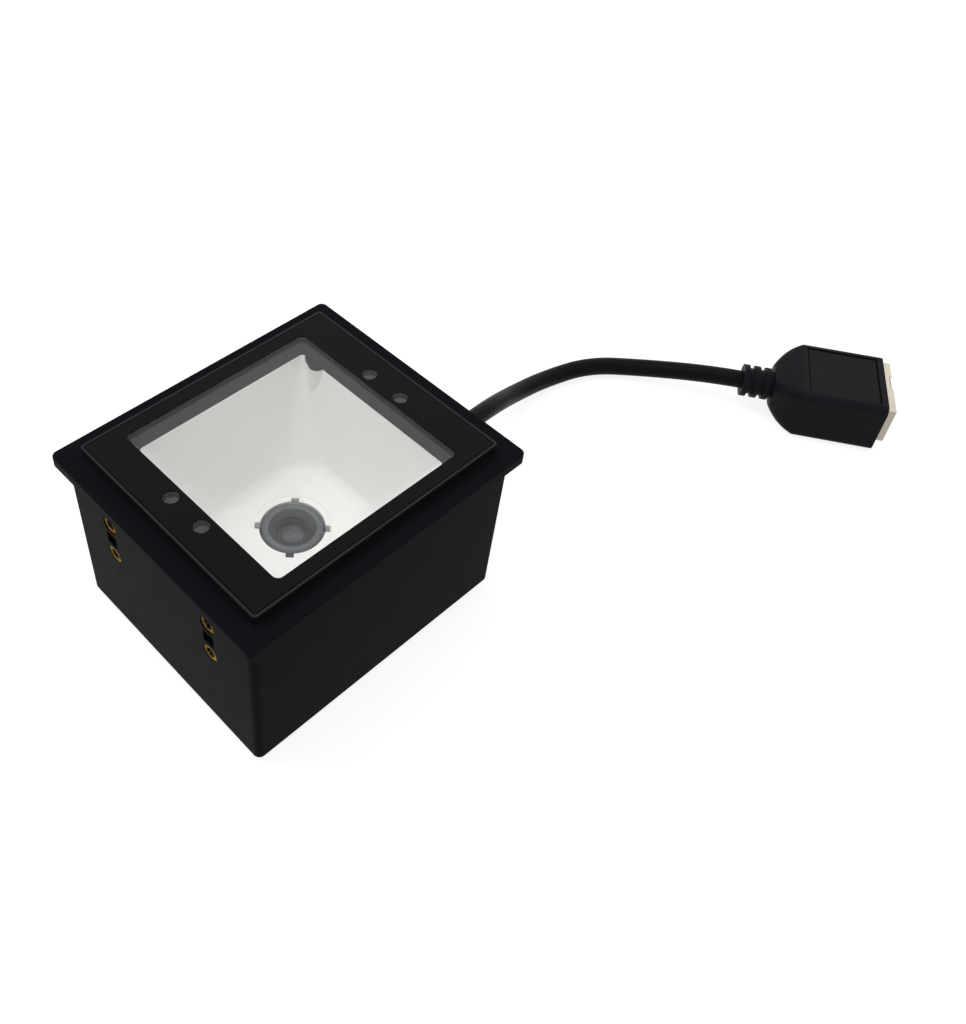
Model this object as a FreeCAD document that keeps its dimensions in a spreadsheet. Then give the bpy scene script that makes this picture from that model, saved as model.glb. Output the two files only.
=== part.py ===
import FreeCAD, Part
import math
import os
import Sketcher

# Fixed barcode reader: a flanged black housing with a window over a white
# reflector, a decoder stack inside, and a short cable to a modular socket.
# The origin is at the middle of the housing's underside, Z up, millimetres.

doc = FreeCAD.newDocument("barcode_reader")
sheet = doc.addObject("Spreadsheet::Sheet", "dims")

# Driving dimensions: alias, value, what it measures
SIZES = [
    ("total_height", 50.5, "underside to the top of the panel"),
    ("bezel_rise", 2.65, "raised frame above the flange"),
    ("bezel_x", 68.4, "raised frame, long side"),
    ("bezel_y", 58.9, "raised frame, short side"),
    ("bezel_corner", 1.0, "corner radius of the raised frame"),
    ("bezel_rim", 0.6, "wall between the frame's outside and the panel recess"),
    ("cove", 0.5, "small hollow fillet between flange and raised frame"),
    ("edge_round", 0.35, "small outer round on moulded edges"),
    ("flange_x", 78.2, "flange, long side"),
    ("flange_y", 68.0, "flange, short side"),
    ("flange_thick", 2.7, "flange thickness"),
    ("flange_corner", 1.6, "corner radius of the flange"),
    ("body_x", 73.8, "housing below the flange, long side"),
    ("body_y", 63.3, "housing below the flange, short side"),
    ("body_corner", 1.6, "corner radius of the housing"),
    ("body_draft", 0.3, "how far each side draws in down to the seam"),
    ("wall", 2.0, "housing wall"),
    ("roof_wall", 2.6, "wall under the panel recess"),
    ("throat_wall", 2.2, "wall beside the upper cavity"),
    ("shoulder_drop", 3.6, "depth of the upper cavity below the roof"),
    ("cover_thick", 2.0, "bottom cover plate"),
    ("cover_step", 0.35, "how far the cover stands in from the housing at the seam"),
    ("cover_taper", 0.6, "further draw-in of the cover down to the floor"),
    ("lip_height", 2.6, "cover lip inside the housing"),
    ("lip_thick", 1.4, "cover lip wall"),
    ("fit_gap", 0.2, "clearance between pieces that slot together"),
    ("turn_gap", 0.05, "clearance round turned pieces in their bores"),
    ("panel_gap", 0.2, "clearance round the panel in its recess"),
    ("mask_thick", 0.1, "printed black layer on the glass"),
    ("glass_thick", 1.5, "window plate"),
    ("tape_thick", 0.2, "adhesive frame under the window plate"),
    ("tape_inset", 0.6, "adhesive frame inside the plate's edge"),
    ("window_x", 50.5, "clear window, along the long side"),
    ("window_y", 51.0, "clear window, along the short side"),
    ("window_corner", 1.5, "corner radius of the clear window"),
    ("throat_lip", 0.3, "throat's lower edge beyond the reflector mouth"),
    ("spot_x", 28.0, "clear spots, distance from the middle"),
    ("spot_y", 5.1, "clear spots, half their spacing"),
    ("spot_r", 1.75, "clear spot radius"),
    ("cup_top", 47.0, "reflector mouth, square"),
    ("cup_floor_x", 34.0, "reflector floor, long side"),
    ("cup_floor_y", 30.0, "reflector floor, short side"),
    ("cup_floor_corner", 9.0, "corner radius of the reflector floor"),
    ("cup_top_corner", 0.8, "corner radius of the reflector mouth"),
    ("cup_floor_z", 22.0, "reflector floor height"),
    ("cup_wall", 1.2, "reflector wall"),
    ("cup_blend", 3.0, "round between reflector wall and floor"),
    ("cup_flange", 1.8, "reflector flange beyond its mouth"),
    ("ear_x", 28.0, "reflector screws, distance from the middle"),
    ("ear_y", 14.6, "reflector screws, distance from the middle"),
    ("ear_r", 3.0, "reflector ear radius"),
    ("hole_r", 7.75, "lens hole in the reflector"),
    ("notch_reach", 8.85, "notches round the lens hole, outer reach"),
    ("notch_width", 1.9, "notch width"),
    ("ring_step", 0.12, "shallow step round the lens hole"),
    ("ring_r", 9.4, "radius of that step"),
    ("collar_r", 10.6, "collar under the reflector floor, round the lens hole"),
    ("collar_drop", 1.4, "collar below the reflector's underside"),
    ("bulge_r", 2.1, "screw-boss bulge in the reflector wall"),
    ("bulge_y", 18.3, "screw-boss bulge, distance from the middle"),
    ("bulge_drop", 7.0, "screw-boss bulge height"),
    ("post_r", 2.6, "housing post at the reflector's corner"),
    ("post_drop", 0.8, "how far that post hangs below the roof"),
    ("post_out", 1.6, "post axis beyond the reflector mouth"),
    ("post_along", 3.2, "post axis from the reflector's corner"),
    ("insert_y", 17.0, "threaded inserts, half their spacing across"),
    ("insert_z", 32.4, "threaded inserts, middle height of each pair"),
    ("insert_pitch", 10.0, "threaded inserts, spacing up"),
    ("insert_r", 2.2, "threaded insert outside"),
    ("insert_bore", 1.25, "threaded insert bore"),
    ("insert_length", 5.0, "threaded insert length"),
    ("insert_sink", 0.1, "insert face below the housing wall"),
    ("insert_block", 6.6, "depth of the block behind the inserts, from the wall"),
    ("insert_margin", 1.8, "block beyond the insert"),
    ("slot_width", 3.5, "core slot between a pair of inserts"),
    ("slot_height", 3.8, "core slot height"),
    ("slot_depth", 4.5, "core slot depth"),
    ("corner_boss_r", 3.3, "cover screw boss"),
    ("corner_boss_in", 2.8, "cover screw axis in from the inner wall"),
    ("corner_boss_top", 22.0, "cover screw boss height"),
    ("cover_screw_r", 1.1, "cover screw shank"),
    ("cover_head_r", 2.3, "cover screw head"),
    ("cover_screw_length", 10.0, "cover screw length"),
    ("cover_head_sink", 0.25, "cover screw head below the underside"),
    ("gland_z", 16.0, "cable exit height"),
    ("gland_neck_r", 3.9, "gland where it passes the wall"),
    ("gland_flange_r", 5.0, "gland flanges"),
    ("gland_flange_thick", 1.4, "gland flange thickness"),
    ("gland_snout", 4.35, "gland snout length"),
    ("cable_r", 2.55, "cable radius"),
    ("cable_lead", 9.8, "straight cable end behind the strain relief"),
    ("board_thick", 1.6, "main board"),
    ("board_x", 62.0, "main board, long side"),
    ("board_y", 48.0, "main board, short side"),
    ("board_z", 5.4, "main board underside"),
    ("board_post_x", 25.0, "main board screws"),
    ("board_post_y", 19.0, "main board screws"),
    ("board_post_r", 2.4, "main board posts"),
    ("leg_length", 8.6, "reflector legs, down to the camera board"),
    ("camera_thick", 1.2, "camera board"),
    ("camera_x", 34.0, "camera board, long side"),
    ("camera_y", 30.0, "camera board, short side"),
    ("leg_x", 14.6, "reflector legs that carry the camera board"),
    ("leg_y", 12.4, "reflector legs that carry the camera board"),
    ("leg_r", 1.8, "reflector legs"),
    ("light_drop", 2.2, "lamp board below the reflector floor"),
    ("light_thick", 1.0, "lamp board"),
    ("light_x", 36.0, "lamp board, long side"),
    ("light_y", 31.0, "lamp board, short side"),
    ("light_hole_r", 7.5, "hole in the lamp board"),
    ("light_post_y", 12.2, "lamp board screws"),
    ("lamp_reach", 8.65, "white lamps under the notches, distance from the axis"),
    ("lamp_side", 1.6, "white lamp side"),
    ("lamp_height", 0.7, "white lamp height"),
    ("pin_x", 13.6, "lamp board pins, distance from the middle"),
    ("pin_side", 0.6, "lamp board pin"),
    ("pin_pitch", 1.27, "lamp board pin spacing"),
    ("small_screw_r", 0.8, "board screw shank"),
    ("small_head_r", 1.7, "board screw head"),
    ("small_head", 1.1, "board screw head height"),
    ("small_length", 5.0, "board screw shank length"),
    ("holder_side", 17.0, "lens holder base"),
    ("holder_base", 2.6, "lens holder base height"),
    ("holder_r", 7.2, "lens holder tower"),
    ("holder_high", 6.6, "lens holder, above the camera board"),
    ("barrel_r", 5.95, "lens barrel outside"),
    ("barrel_lift", 2.8, "lens barrel underside, above the camera board"),
    ("barrel_out", 1.6, "lens barrel out of its holder"),
    ("lens_sink", 1.8, "front lens seat, below the barrel top"),
    ("rear_lift", 1.6, "rear lens seat, above the barrel underside"),
    ("iris_r", 2.4, "opening between the lenses"),
    ("filter_lift", 1.8, "infrared filter underside, above the camera board"),
    ("filter_side", 7.0, "infrared filter"),
    ("filter_thick", 0.5, "infrared filter"),
    ("sensor_x", 7.2, "image sensor, long side"),
    ("sensor_y", 6.2, "image sensor, short side"),
    ("sensor_thick", 1.2, "image sensor"),
    ("lens_r", 3.9, "front lens"),
    ("rear_lens_r", 2.9, "rear lens"),
    ("hood_r", 7.3, "lens hood ring outside"),
    ("hood_high", 3.0, "lens hood ring, above the lens holder"),
    ("hood_mouth", 5.6, "lens hood ring, inner edge of its face"),
    ("hood_throat", 3.8, "lens hood ring, narrowest"),
    ("strip_x", 5.4, "indicator board width"),
    ("strip_y", 24.0, "indicator board length"),
    ("strip_thick", 1.0, "indicator board"),
    ("strip_pin_y", 9.6, "indicator board pins, distance from the middle"),
    ("strip_pin_r", 1.3, "indicator board pins"),
    ("strip_drop", 3.2, "indicator board below the roof"),
    ("guide_r", 1.5, "light guide"),
    ("socket_x", 160.4, "middle of the socket's front face"),
    ("socket_y", -66.8, "middle of the socket's front face"),
    ("socket_yaw", -56.0, "direction the socket faces, degrees from +X"),
    ("socket_wide", 23.6, "socket body width"),
    ("socket_tall", 16.4, "socket body height"),
    ("socket_long", 22.0, "socket body, full section"),
    ("shoulder_long", 7.3, "socket body, rear shoulder"),
    ("shoulder_wide", 14.0, "socket body width at its rear"),
    ("shoulder_tall", 11.0, "socket body height at its rear"),
    ("socket_corner", 2.2, "socket body corner radius"),
    ("label_long", 19.4, "plain recess on the socket, length"),
    ("label_wide", 18.8, "plain recess on the socket, width"),
    ("label_deep", 0.3, "depth of the plain recess"),
    ("grip_pitch", 3.9, "grip ribs under the socket"),
    ("grip_wide", 2.4, "grip rib width"),
    ("grip_deep", 0.3, "grip rib height"),
    ("relief_long", 8.4, "strain relief length"),
    ("relief_r", 3.7, "strain relief core"),
    ("rib_r", 4.6, "strain relief ribs"),
    ("rib_thick", 1.5, "strain relief rib"),
    ("rib_pitch", 3.0, "strain relief rib spacing"),
    ("shield_wide", 20.4, "shield, across"),
    ("shield_tall", 11.4, "shield, height"),
    ("shield_out", 2.4, "shield beyond the socket body"),
    ("shield_deep", 15.0, "shield inside the socket body"),
    ("shield_cover", 1.4, "socket body above the shield"),
    ("shield_wall", 0.35, "shield sheet"),
    ("shield_notch_wide", 4.9, "notch in the front edge of the shield's upper sheet"),
    ("shield_notch_deep", 0.6, "how far that notch reaches back"),
    ("shield_notch_y", 1.9, "middle of that notch, to one side"),
    ("jack_wide", 11.9, "plug cavity width"),
    ("jack_tall", 7.2, "plug cavity height"),
    ("jack_deep", 12.5, "plug cavity depth"),
    ("jack_sill", 2.8, "plug cavity above the jack's underside"),
    ("jack_sink", 0.3, "jack front behind the shield's edge"),
    ("contact_pitch", 1.02, "contact spacing"),
    ("contact_size", 0.45, "contact wire"),
    ("latch_wide", 6.3, "latch slot width"),
    ("latch_deep", 2.2, "latch slot depth below the plug cavity"),
    ("plug_x", 24.0, "cable plug, distance from the middle"),
    ("plug_wide", 10.0, "cable header width"),
    ("plug_deep", 6.0, "cable header depth"),
    ("plug_low", 8.4, "cable plug underside"),
    ("plug_top", 12.0, "cable plug top"),
    ("header_top", 11.0, "cable header top"),
    ("wire_r", 0.5, "lead wire radius"),
    ("wire_pitch", 1.3, "lead wire spacing"),
    ("wire_bend", 2.4, "lead wire bend radius"),
    ("link_x", 5.0, "board connector, distance from the middle"),
    ("link_y", 10.2, "board connector, distance from the middle"),
    ("link_long", 10.0, "board connector length"),
    ("link_wide", 4.0, "board connector width"),
    ("link_share", 0.55, "part of the gap between the boards that the lower half fills"),
    ("chip_side", 12.0, "decoder chip"),
    ("chip_high", 1.2, "decoder chip height"),
    ("memory_x", 11.6, "memory chip, distance from the middle"),
    ("memory_y", 6.6, "memory chip, distance from the middle"),
    ("memory_long", 9.0, "memory chip, long side"),
    ("memory_wide", 6.0, "memory chip, short side"),
    ("memory_high", 1.0, "memory chip height"),
    ("coil_x", -22.0, "inductor and buzzer, distance from the middle"),
    ("coil_y", 6.0, "inductor, distance from the middle"),
    ("coil_side", 5.0, "inductor"),
    ("coil_high", 3.0, "inductor height"),
    ("buzzer_y", -8.0, "buzzer, distance from the middle"),
    ("buzzer_r", 5.0, "buzzer radius"),
    ("buzzer_high", 3.5, "buzzer height"),
    ("buzzer_hole_r", 0.9, "buzzer sound hole"),
    ("buzzer_hole_deep", 0.8, "buzzer sound hole depth"),
    ("ribbon_x", 30.2, "indicator ribbons, distance from the middle"),
    ("ribbon_y", 8.0, "indicator ribbons, distance from the middle"),
    ("ribbon_wide", 4.0, "indicator ribbon width"),
    ("ribbon_thick", 0.3, "indicator ribbon thickness"),
]
for row, (alias, value, note) in enumerate(SIZES, 1):
    sheet.set(f"A{row}", alias)
    sheet.set(f"B{row}", str(value))
    sheet.set(f"C{row}", note)
    sheet.setAlias(f"B{row}", alias)
doc.recompute()


def size(expression):
    """The value of an expression on the sheet's cells."""
    return float(sheet.evalExpression(expression))


# Levels and widths that several pieces share, as expressions on the sheet
MASK_LOW = "(dims.total_height - dims.mask_thick)"
GLASS_LOW = f"({MASK_LOW} - dims.glass_thick)"
LEDGE = f"({GLASS_LOW} - dims.tape_thick)"
ROOF = f"({LEDGE} - dims.roof_wall)"
FLANGE_TOP = "(dims.total_height - dims.bezel_rise)"
FLANGE_LOW = f"({FLANGE_TOP} - dims.flange_thick)"
SHOULDER = f"({ROOF} - dims.shoulder_drop)"
SEAM = "dims.cover_thick"
SEAM_X = "(dims.body_x - 2 * dims.body_draft)"
SEAM_Y = "(dims.body_y - 2 * dims.body_draft)"
INNER_X = f"({SEAM_X} - 2 * dims.wall)"
INNER_Y = f"({SEAM_Y} - 2 * dims.wall)"
RECESS_X = "(dims.bezel_x - 2 * dims.bezel_rim)"
RECESS_Y = "(dims.bezel_y - 2 * dims.bezel_rim)"
CUP_FLOOR = "dims.cup_floor_z"
CUP_UNDER = f"({CUP_FLOOR} - dims.cup_wall)"
BOSS_X = f"({INNER_X} / 2 - dims.corner_boss_in)"
BOSS_Y = f"({INNER_Y} / 2 - dims.corner_boss_in)"
BOARD_TOP = "(dims.board_z + dims.board_thick)"
CAMERA_TOP = f"({CUP_UNDER} - dims.leg_length)"
CAMERA_LOW = f"({CAMERA_TOP} - dims.camera_thick)"
HOLDER_TOP = f"({CAMERA_TOP} + dims.holder_high)"
BARREL_LOW = f"({CAMERA_TOP} + dims.barrel_lift)"
BARREL_TOP = f"({HOLDER_TOP} + dims.barrel_out)"
LENS_SEAT = f"({BARREL_TOP} - dims.lens_sink)"
REAR_SEAT = f"({BARREL_LOW} + dims.rear_lift)"
FILTER_LOW = f"({CAMERA_TOP} + dims.filter_lift)"
HOOD_TOP = f"({HOLDER_TOP} + dims.hood_high)"
LIGHT_TOP = f"({CUP_UNDER} - dims.light_drop)"
LIGHT_LOW = f"({LIGHT_TOP} - dims.light_thick)"
STRIP_TOP = f"({ROOF} - dims.strip_drop)"
STRIP_LOW = f"({STRIP_TOP} - dims.strip_thick)"
INSERT_FACE = "(-dims.body_x / 2 + dims.body_draft / 2 + dims.insert_sink)"
INSERT_END = f"({INSERT_FACE} + dims.insert_length)"
SOCKET_REAR = "(dims.socket_long + dims.shoulder_long)"
RELIEF_END = f"({SOCKET_REAR} + dims.relief_long)"
POST_X = "(dims.cup_top / 2 + dims.post_out)"
POST_Y = "(dims.cup_top / 2 - dims.post_along)"
BLOCK_HALF_Y = "(dims.insert_r + dims.insert_margin)"
BLOCK_HALF_Z = "(dims.insert_pitch / 2 + dims.insert_r + dims.insert_margin)"
GLAND_START = "(dims.body_x / 2 - dims.body_draft / 2)"
CABLE_START = f"({GLAND_START} + dims.gland_flange_thick + dims.gland_snout)"

bodies = {}


def body(name, several=False):
    """A new body for one sub-part, which may be a group of separate solids."""
    made = doc.addObject("PartDesign::Body", name)
    made.Label = name
    made.AllowCompound = several
    bodies[name] = made
    return made


def origin(owner, role):
    return next(f for f in owner.Origin.OriginFeatures if f.Role == role)


def sketch(owner, name, plane="XY_Plane", level="0", x="0", y="0", turn=0):
    """A sketch on one of the body's own planes, moved along its normal and in it."""
    made = owner.newObject("Sketcher::SketchObject", name)
    made.AttachmentSupport = [(origin(owner, plane), "")]
    made.MapMode = "FlatFace"
    made.AttachmentOffset = FreeCAD.Placement(
        FreeCAD.Vector(size(x), size(y), size(level)),
        FreeCAD.Rotation(FreeCAD.Vector(0, 0, 1), turn),
    )
    for axis, shift in zip("xyz", (x, y, level)):
        made.setExpression(f"AttachmentOffset.Base.{axis}", shift)
    return made


def tie(drawing, kind, where, expression):
    """A named constraint bound to an expression."""
    index = drawing.addConstraint(Sketcher.Constraint(kind, *where, size(expression)))
    name = f"size{index}"
    drawing.renameConstraint(index, name)
    drawing.setExpression(f"Constraints.{name}", expression)


def polygon(drawing, points):
    """A closed outline whose corners are pairs of expressions."""
    first = drawing.GeometryCount
    spots = [FreeCAD.Vector(size(x), size(y), 0) for x, y in points]
    count = len(spots)
    for i in range(count):
        drawing.addGeometry(Part.LineSegment(spots[i], spots[(i + 1) % count]), False)
    for i in range(count):
        here, after = first + i, first + (i + 1) % count
        drawing.addConstraint(Sketcher.Constraint("Coincident", here, 2, after, 1))
    for i, (x, y) in enumerate(points):
        tie(drawing, "DistanceX", (-1, 1, first + i, 1), x)
        tie(drawing, "DistanceY", (-1, 1, first + i, 1), y)


def rectangle(drawing, west, east, south, north):
    polygon(drawing, [(west, south), (east, south), (east, north), (west, north)])


def centred(drawing, wide, tall, x="0", y="0"):
    rectangle(
        drawing,
        f"{x} - {wide} / 2",
        f"{x} + {wide} / 2",
        f"{y} - {tall} / 2",
        f"{y} + {tall} / 2",
    )


def rounded(drawing, wide, tall, radius, x="0", y="0"):
    """A rectangle with round corners about a point."""
    first = drawing.GeometryCount
    west, east = size(f"{x} - {wide} / 2"), size(f"{x} + {wide} / 2")
    south, north = size(f"{y} - {tall} / 2"), size(f"{y} + {tall} / 2")
    r = size(radius)
    sides = [
        ((west + r, south), (east - r, south)),
        ((east, south + r), (east, north - r)),
        ((east - r, north), (west + r, north)),
        ((west, north - r), (west, south + r)),
    ]
    centres = [
        (east - r, south + r),
        (east - r, north - r),
        (west + r, north - r),
        (west + r, south + r),
    ]
    for k in range(4):
        start, end = (FreeCAD.Vector(*p, 0) for p in sides[k])
        drawing.addGeometry(Part.LineSegment(start, end), False)
        circle = Part.Circle(FreeCAD.Vector(*centres[k], 0), FreeCAD.Vector(0, 0, 1), r)
        quarter = math.pi / 2
        drawing.addGeometry(Part.ArcOfCircle(circle, (k - 1) * quarter, k * quarter), False)
    for k in range(8):
        here, after = first + k, first + (k + 1) % 8
        drawing.addConstraint(Sketcher.Constraint("Tangent", here, 2, after, 1))
    for k, kind in enumerate(("Horizontal", "Vertical", "Horizontal", "Vertical")):
        drawing.addConstraint(Sketcher.Constraint(kind, first + 2 * k))
    for k in (3, 5, 7):
        drawing.addConstraint(Sketcher.Constraint("Equal", first + 1, first + k))
    tie(drawing, "Radius", (first + 1,), radius)
    tie(drawing, "DistanceY", (-1, 1, first, 1), f"{y} - {tall} / 2")
    tie(drawing, "DistanceX", (-1, 1, first + 2, 1), f"{x} + {wide} / 2")
    tie(drawing, "DistanceY", (-1, 1, first + 4, 1), f"{y} + {tall} / 2")
    tie(drawing, "DistanceX", (-1, 1, first + 6, 1), f"{x} - {wide} / 2")


def circle(drawing, radius, x="0", y="0"):
    index = drawing.GeometryCount
    middle = FreeCAD.Vector(size(x), size(y), 0)
    drawing.addGeometry(Part.Circle(middle, FreeCAD.Vector(0, 0, 1), size(radius)), False)
    tie(drawing, "Radius", (index,), radius)
    tie(drawing, "DistanceX", (-1, 1, index, 3), x)
    tie(drawing, "DistanceY", (-1, 1, index, 3), y)


def four_circles(drawing, radius, x, y):
    for east in ("", "-"):
        for north in ("", "-"):
            circle(drawing, radius, f"{east}{x}", f"{north}{y}")


def feature(owner, kind, name, profile, length=None):
    """Adds a pad, pocket or turned feature from a sketch."""
    made = owner.newObject(f"PartDesign::{kind}", name)
    made.Profile = profile
    if length is not None:
        made.setExpression("Length", length)
    profile.Visibility = False
    owner.Tip = made
    return made


def pad(owner, name, profile, length):
    return feature(owner, "Pad", name, profile, length)


def settle():
    """Recomputes, and stops at the first object that fails."""
    doc.recompute()
    failed = [o.Name for o in doc.Objects if "Invalid" in o.State or "Error" in o.State]
    if failed:
        raise RuntimeError(f"failed: {failed}")


def pocket(owner, name, profile, length):
    """Cuts from the sketch against its plane's normal, and checks that it did."""
    settle()
    before = owner.Shape.Volume
    made = feature(owner, "Pocket", name, profile, length)
    settle()
    if owner.Shape.Volume > before - 1e-6:
        raise RuntimeError(f"{owner.Label}: {name} cuts nothing")
    return made


def turned(owner, name, profile, axis="V_Axis", kind="Revolution"):
    made = feature(owner, kind, name, profile)
    made.ReferenceAxis = (profile, [axis])
    made.Angle = 360
    return made


def loft(owner, name, profiles, kind="AdditiveLoft", ruled=True):
    made = owner.newObject(f"PartDesign::{kind}", name)
    made.Profile = profiles[0]
    made.Sections = profiles[1:]
    made.Ruled = ruled
    owner.Tip = made
    return made


def edges(owner, test):
    """Names of the edges of a body's tip that pass a test on their box."""
    settle()
    shape = owner.Tip.Shape
    return [f"Edge{i}" for i, e in enumerate(shape.Edges, 1) if test(e.BoundBox)]


def fillet(owner, name, radius, test):
    names = edges(owner, test)
    if not names:
        raise RuntimeError(f"{owner.Label}: {name} finds no edge")
    base = owner.Tip
    made = owner.newObject("PartDesign::Fillet", name)
    made.Base = (base, names)
    made.setExpression("Radius", radius)
    owner.Tip = made
    return made


def mirrored(owner, originals, planes):
    """Repeats features across each of the body's own planes in turn."""
    made = owner.newObject("PartDesign::MultiTransform", "copies")
    made.Originals = originals
    steps = []
    for plane in planes:
        step = owner.newObject("PartDesign::Mirrored", f"across_{plane[:2].lower()}")
        step.MirrorPlane = (origin(owner, plane), [""])
        steps.append(step)
    made.Transformations = steps
    owner.Tip = made
    return made


def four_ways(owner, originals):
    """Repeats features in all four quarters of the plan."""
    return mirrored(owner, originals, ("YZ_Plane", "XZ_Plane"))


def level_edge(box, z, tolerance=0.01):
    return abs(box.ZMin - z) < tolerance and abs(box.ZMax - z) < tolerance


def on_outline(level, wide, tall, corner, tolerance=0.01):
    """A test for the edges of one rounded outline at a level, and of none inside it."""
    z, r = size(level), size(corner)
    x, y = size(wide) / 2, size(tall) / 2

    def test(box):
        across = max(abs(box.XMin), abs(box.XMax))
        along = max(abs(box.YMin), abs(box.YMax))
        inside = across < x + tolerance and along < y + tolerance
        reaches = across > x - r - tolerance or along > y - r - tolerance
        return level_edge(box, z) and inside and reaches

    return test


def slab(owner, name, level, wide, tall, radius, height):
    """A flat plate with round corners, from a level up."""
    drawing = sketch(owner, f"{name}_outline", level=level)
    rounded(drawing, wide, tall, radius)
    return pad(owner, name, drawing, height)


def block(owner, name, level, west, east, south, north, height):
    drawing = sketch(owner, f"{name}_outline", level=level)
    rectangle(drawing, west, east, south, north)
    return pad(owner, name, drawing, height)


def rods(owner, name, level, radius, x, y, height):
    """Four round rods, one in each quarter of the plan."""
    drawing = sketch(owner, f"{name}_outline", level=level)
    four_circles(drawing, radius, x, y)
    return pad(owner, name, drawing, height)


def holes(owner, name, top, radius, x, y, depth):
    """Four round holes cut down from a level."""
    drawing = sketch(owner, f"{name}_outline", level=top)
    four_circles(drawing, radius, x, y)
    return pocket(owner, name, drawing, depth)


# Main housing: tapered walls, flange, raised frame with a hollow fillet
housing = body("main_housing")
foot = sketch(housing, "foot", level=SEAM)
rounded(foot, SEAM_X, SEAM_Y, "dims.body_corner")
neck = sketch(housing, "neck", level=FLANGE_LOW)
rounded(neck, "dims.body_x", "dims.body_y", "dims.body_corner")
loft(housing, "walls", [foot, neck])
slab(housing, "flange", FLANGE_LOW, "dims.flange_x", "dims.flange_y",
     "dims.flange_corner", "dims.flange_thick")
slab(housing, "bezel", FLANGE_TOP, "dims.bezel_x", "dims.bezel_y",
     "dims.bezel_corner", "dims.bezel_rise")
fillet(housing, "cove", "dims.cove",
       on_outline(FLANGE_TOP, "dims.bezel_x", "dims.bezel_y", "dims.bezel_corner"))
fillet(housing, "flange_round", "dims.edge_round",
       on_outline(FLANGE_TOP, "dims.flange_x", "dims.flange_y", "dims.flange_corner"))

# The window recess and the throat below it
recess = sketch(housing, "recess_outline", level="dims.total_height")
rounded(recess, RECESS_X, RECESS_Y, "dims.bezel_corner * 0.6")
pocket(housing, "recess", recess, f"dims.total_height - {LEDGE}")
lower = sketch(housing, "cavity_outline", level=SHOULDER)
rounded(lower, INNER_X, INNER_Y, "dims.body_corner * 0.6")
pocket(housing, "cavity", lower, f"{SHOULDER} - {SEAM}")
upper = sketch(housing, "upper_outline", level=ROOF)
rounded(upper, "(dims.bezel_x - 2 * dims.throat_wall)",
        "(dims.bezel_y - 2 * dims.throat_wall)", "dims.body_corner")
pocket(housing, "upper_cavity", upper, "dims.shoulder_drop")
throat_low = sketch(housing, "throat_low", level=ROOF)
rounded(throat_low, "(dims.cup_top + 2 * dims.throat_lip)", "(dims.cup_top + 2 * dims.throat_lip)",
        "dims.cup_top_corner")
throat_high = sketch(housing, "throat_high", level=LEDGE)
rounded(throat_high, "(dims.window_x + 2 * dims.fit_gap)",
        "(dims.window_y + 2 * dims.fit_gap)", "dims.window_corner")
loft(housing, "throat", [throat_low, throat_high], "SubtractiveLoft")
post = sketch(housing, "post_outline", level=f"{ROOF} - dims.post_drop")
circle(post, "dims.post_r", POST_X, POST_Y)
pad(housing, "post", post, "dims.post_drop")

# Bosses for the cover screws, and pins for the indicator boards
rods(housing, "cover_bosses", SEAM, "dims.corner_boss_r", BOSS_X, BOSS_Y,
     "dims.corner_boss_top - dims.cover_thick")
holes(housing, "cover_pilots", f"{SEAM} + dims.cover_screw_length",
      "dims.cover_screw_r + dims.turn_gap", BOSS_X, BOSS_Y, "dims.cover_screw_length")
rods(housing, "strip_pins", STRIP_TOP, "dims.strip_pin_r", "dims.spot_x",
     "dims.strip_pin_y", "dims.strip_drop")
holes(housing, "strip_pilots", f"{STRIP_TOP} + dims.small_length * 0.6",
      "dims.small_screw_r * 0.8 + dims.turn_gap", "dims.spot_x", "dims.strip_pin_y",
      "dims.small_length * 0.6")
holes(housing, "guide_holes", LEDGE, "dims.guide_r + dims.fit_gap", "dims.spot_x",
      "dims.spot_y", "dims.roof_wall")
holes(housing, "ear_pilots", f"{ROOF} + dims.roof_wall * 0.7",
      "dims.small_screw_r + dims.turn_gap", "dims.ear_x", "dims.ear_y",
      "dims.roof_wall * 0.7")

# Blocks behind the threaded inserts, with a core slot between each pair
for side, sign in (("near", "-"), ("far", "")):
    middle = f"{sign}dims.insert_y"
    block(housing, f"insert_block_{side}", f"dims.insert_z - {BLOCK_HALF_Z}",
          "-dims.body_x / 2 + dims.wall * 0.7", "-dims.body_x / 2 + dims.insert_block",
          f"{middle} - {BLOCK_HALF_Y}", f"{middle} + {BLOCK_HALF_Y}", f"2 * {BLOCK_HALF_Z}")
bore = sketch(housing, "insert_holes_outline", "YZ_Plane", INSERT_END)
for across in ("-dims.insert_y", "dims.insert_y"):
    for up in ("-", "+"):
        circle(bore, "dims.insert_r + dims.turn_gap", across,
               f"dims.insert_z {up} dims.insert_pitch / 2")
pocket(housing, "insert_holes", bore, "dims.insert_length + dims.wall")
core = sketch(housing, "slots_outline", "YZ_Plane", "-dims.body_x / 2 + dims.slot_depth")
for across in ("-dims.insert_y", "dims.insert_y"):
    centred(core, "dims.slot_width", "dims.slot_height", across, "dims.insert_z")
pocket(housing, "core_slots", core, "dims.slot_depth + dims.wall")
exit_hole = sketch(housing, "exit_outline", "YZ_Plane", "dims.body_x / 2 + dims.wall")
circle(exit_hole, "dims.gland_neck_r + dims.turn_gap", "0", "dims.gland_z")
pocket(housing, "cable_exit", exit_hole, "3 * dims.wall")

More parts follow.
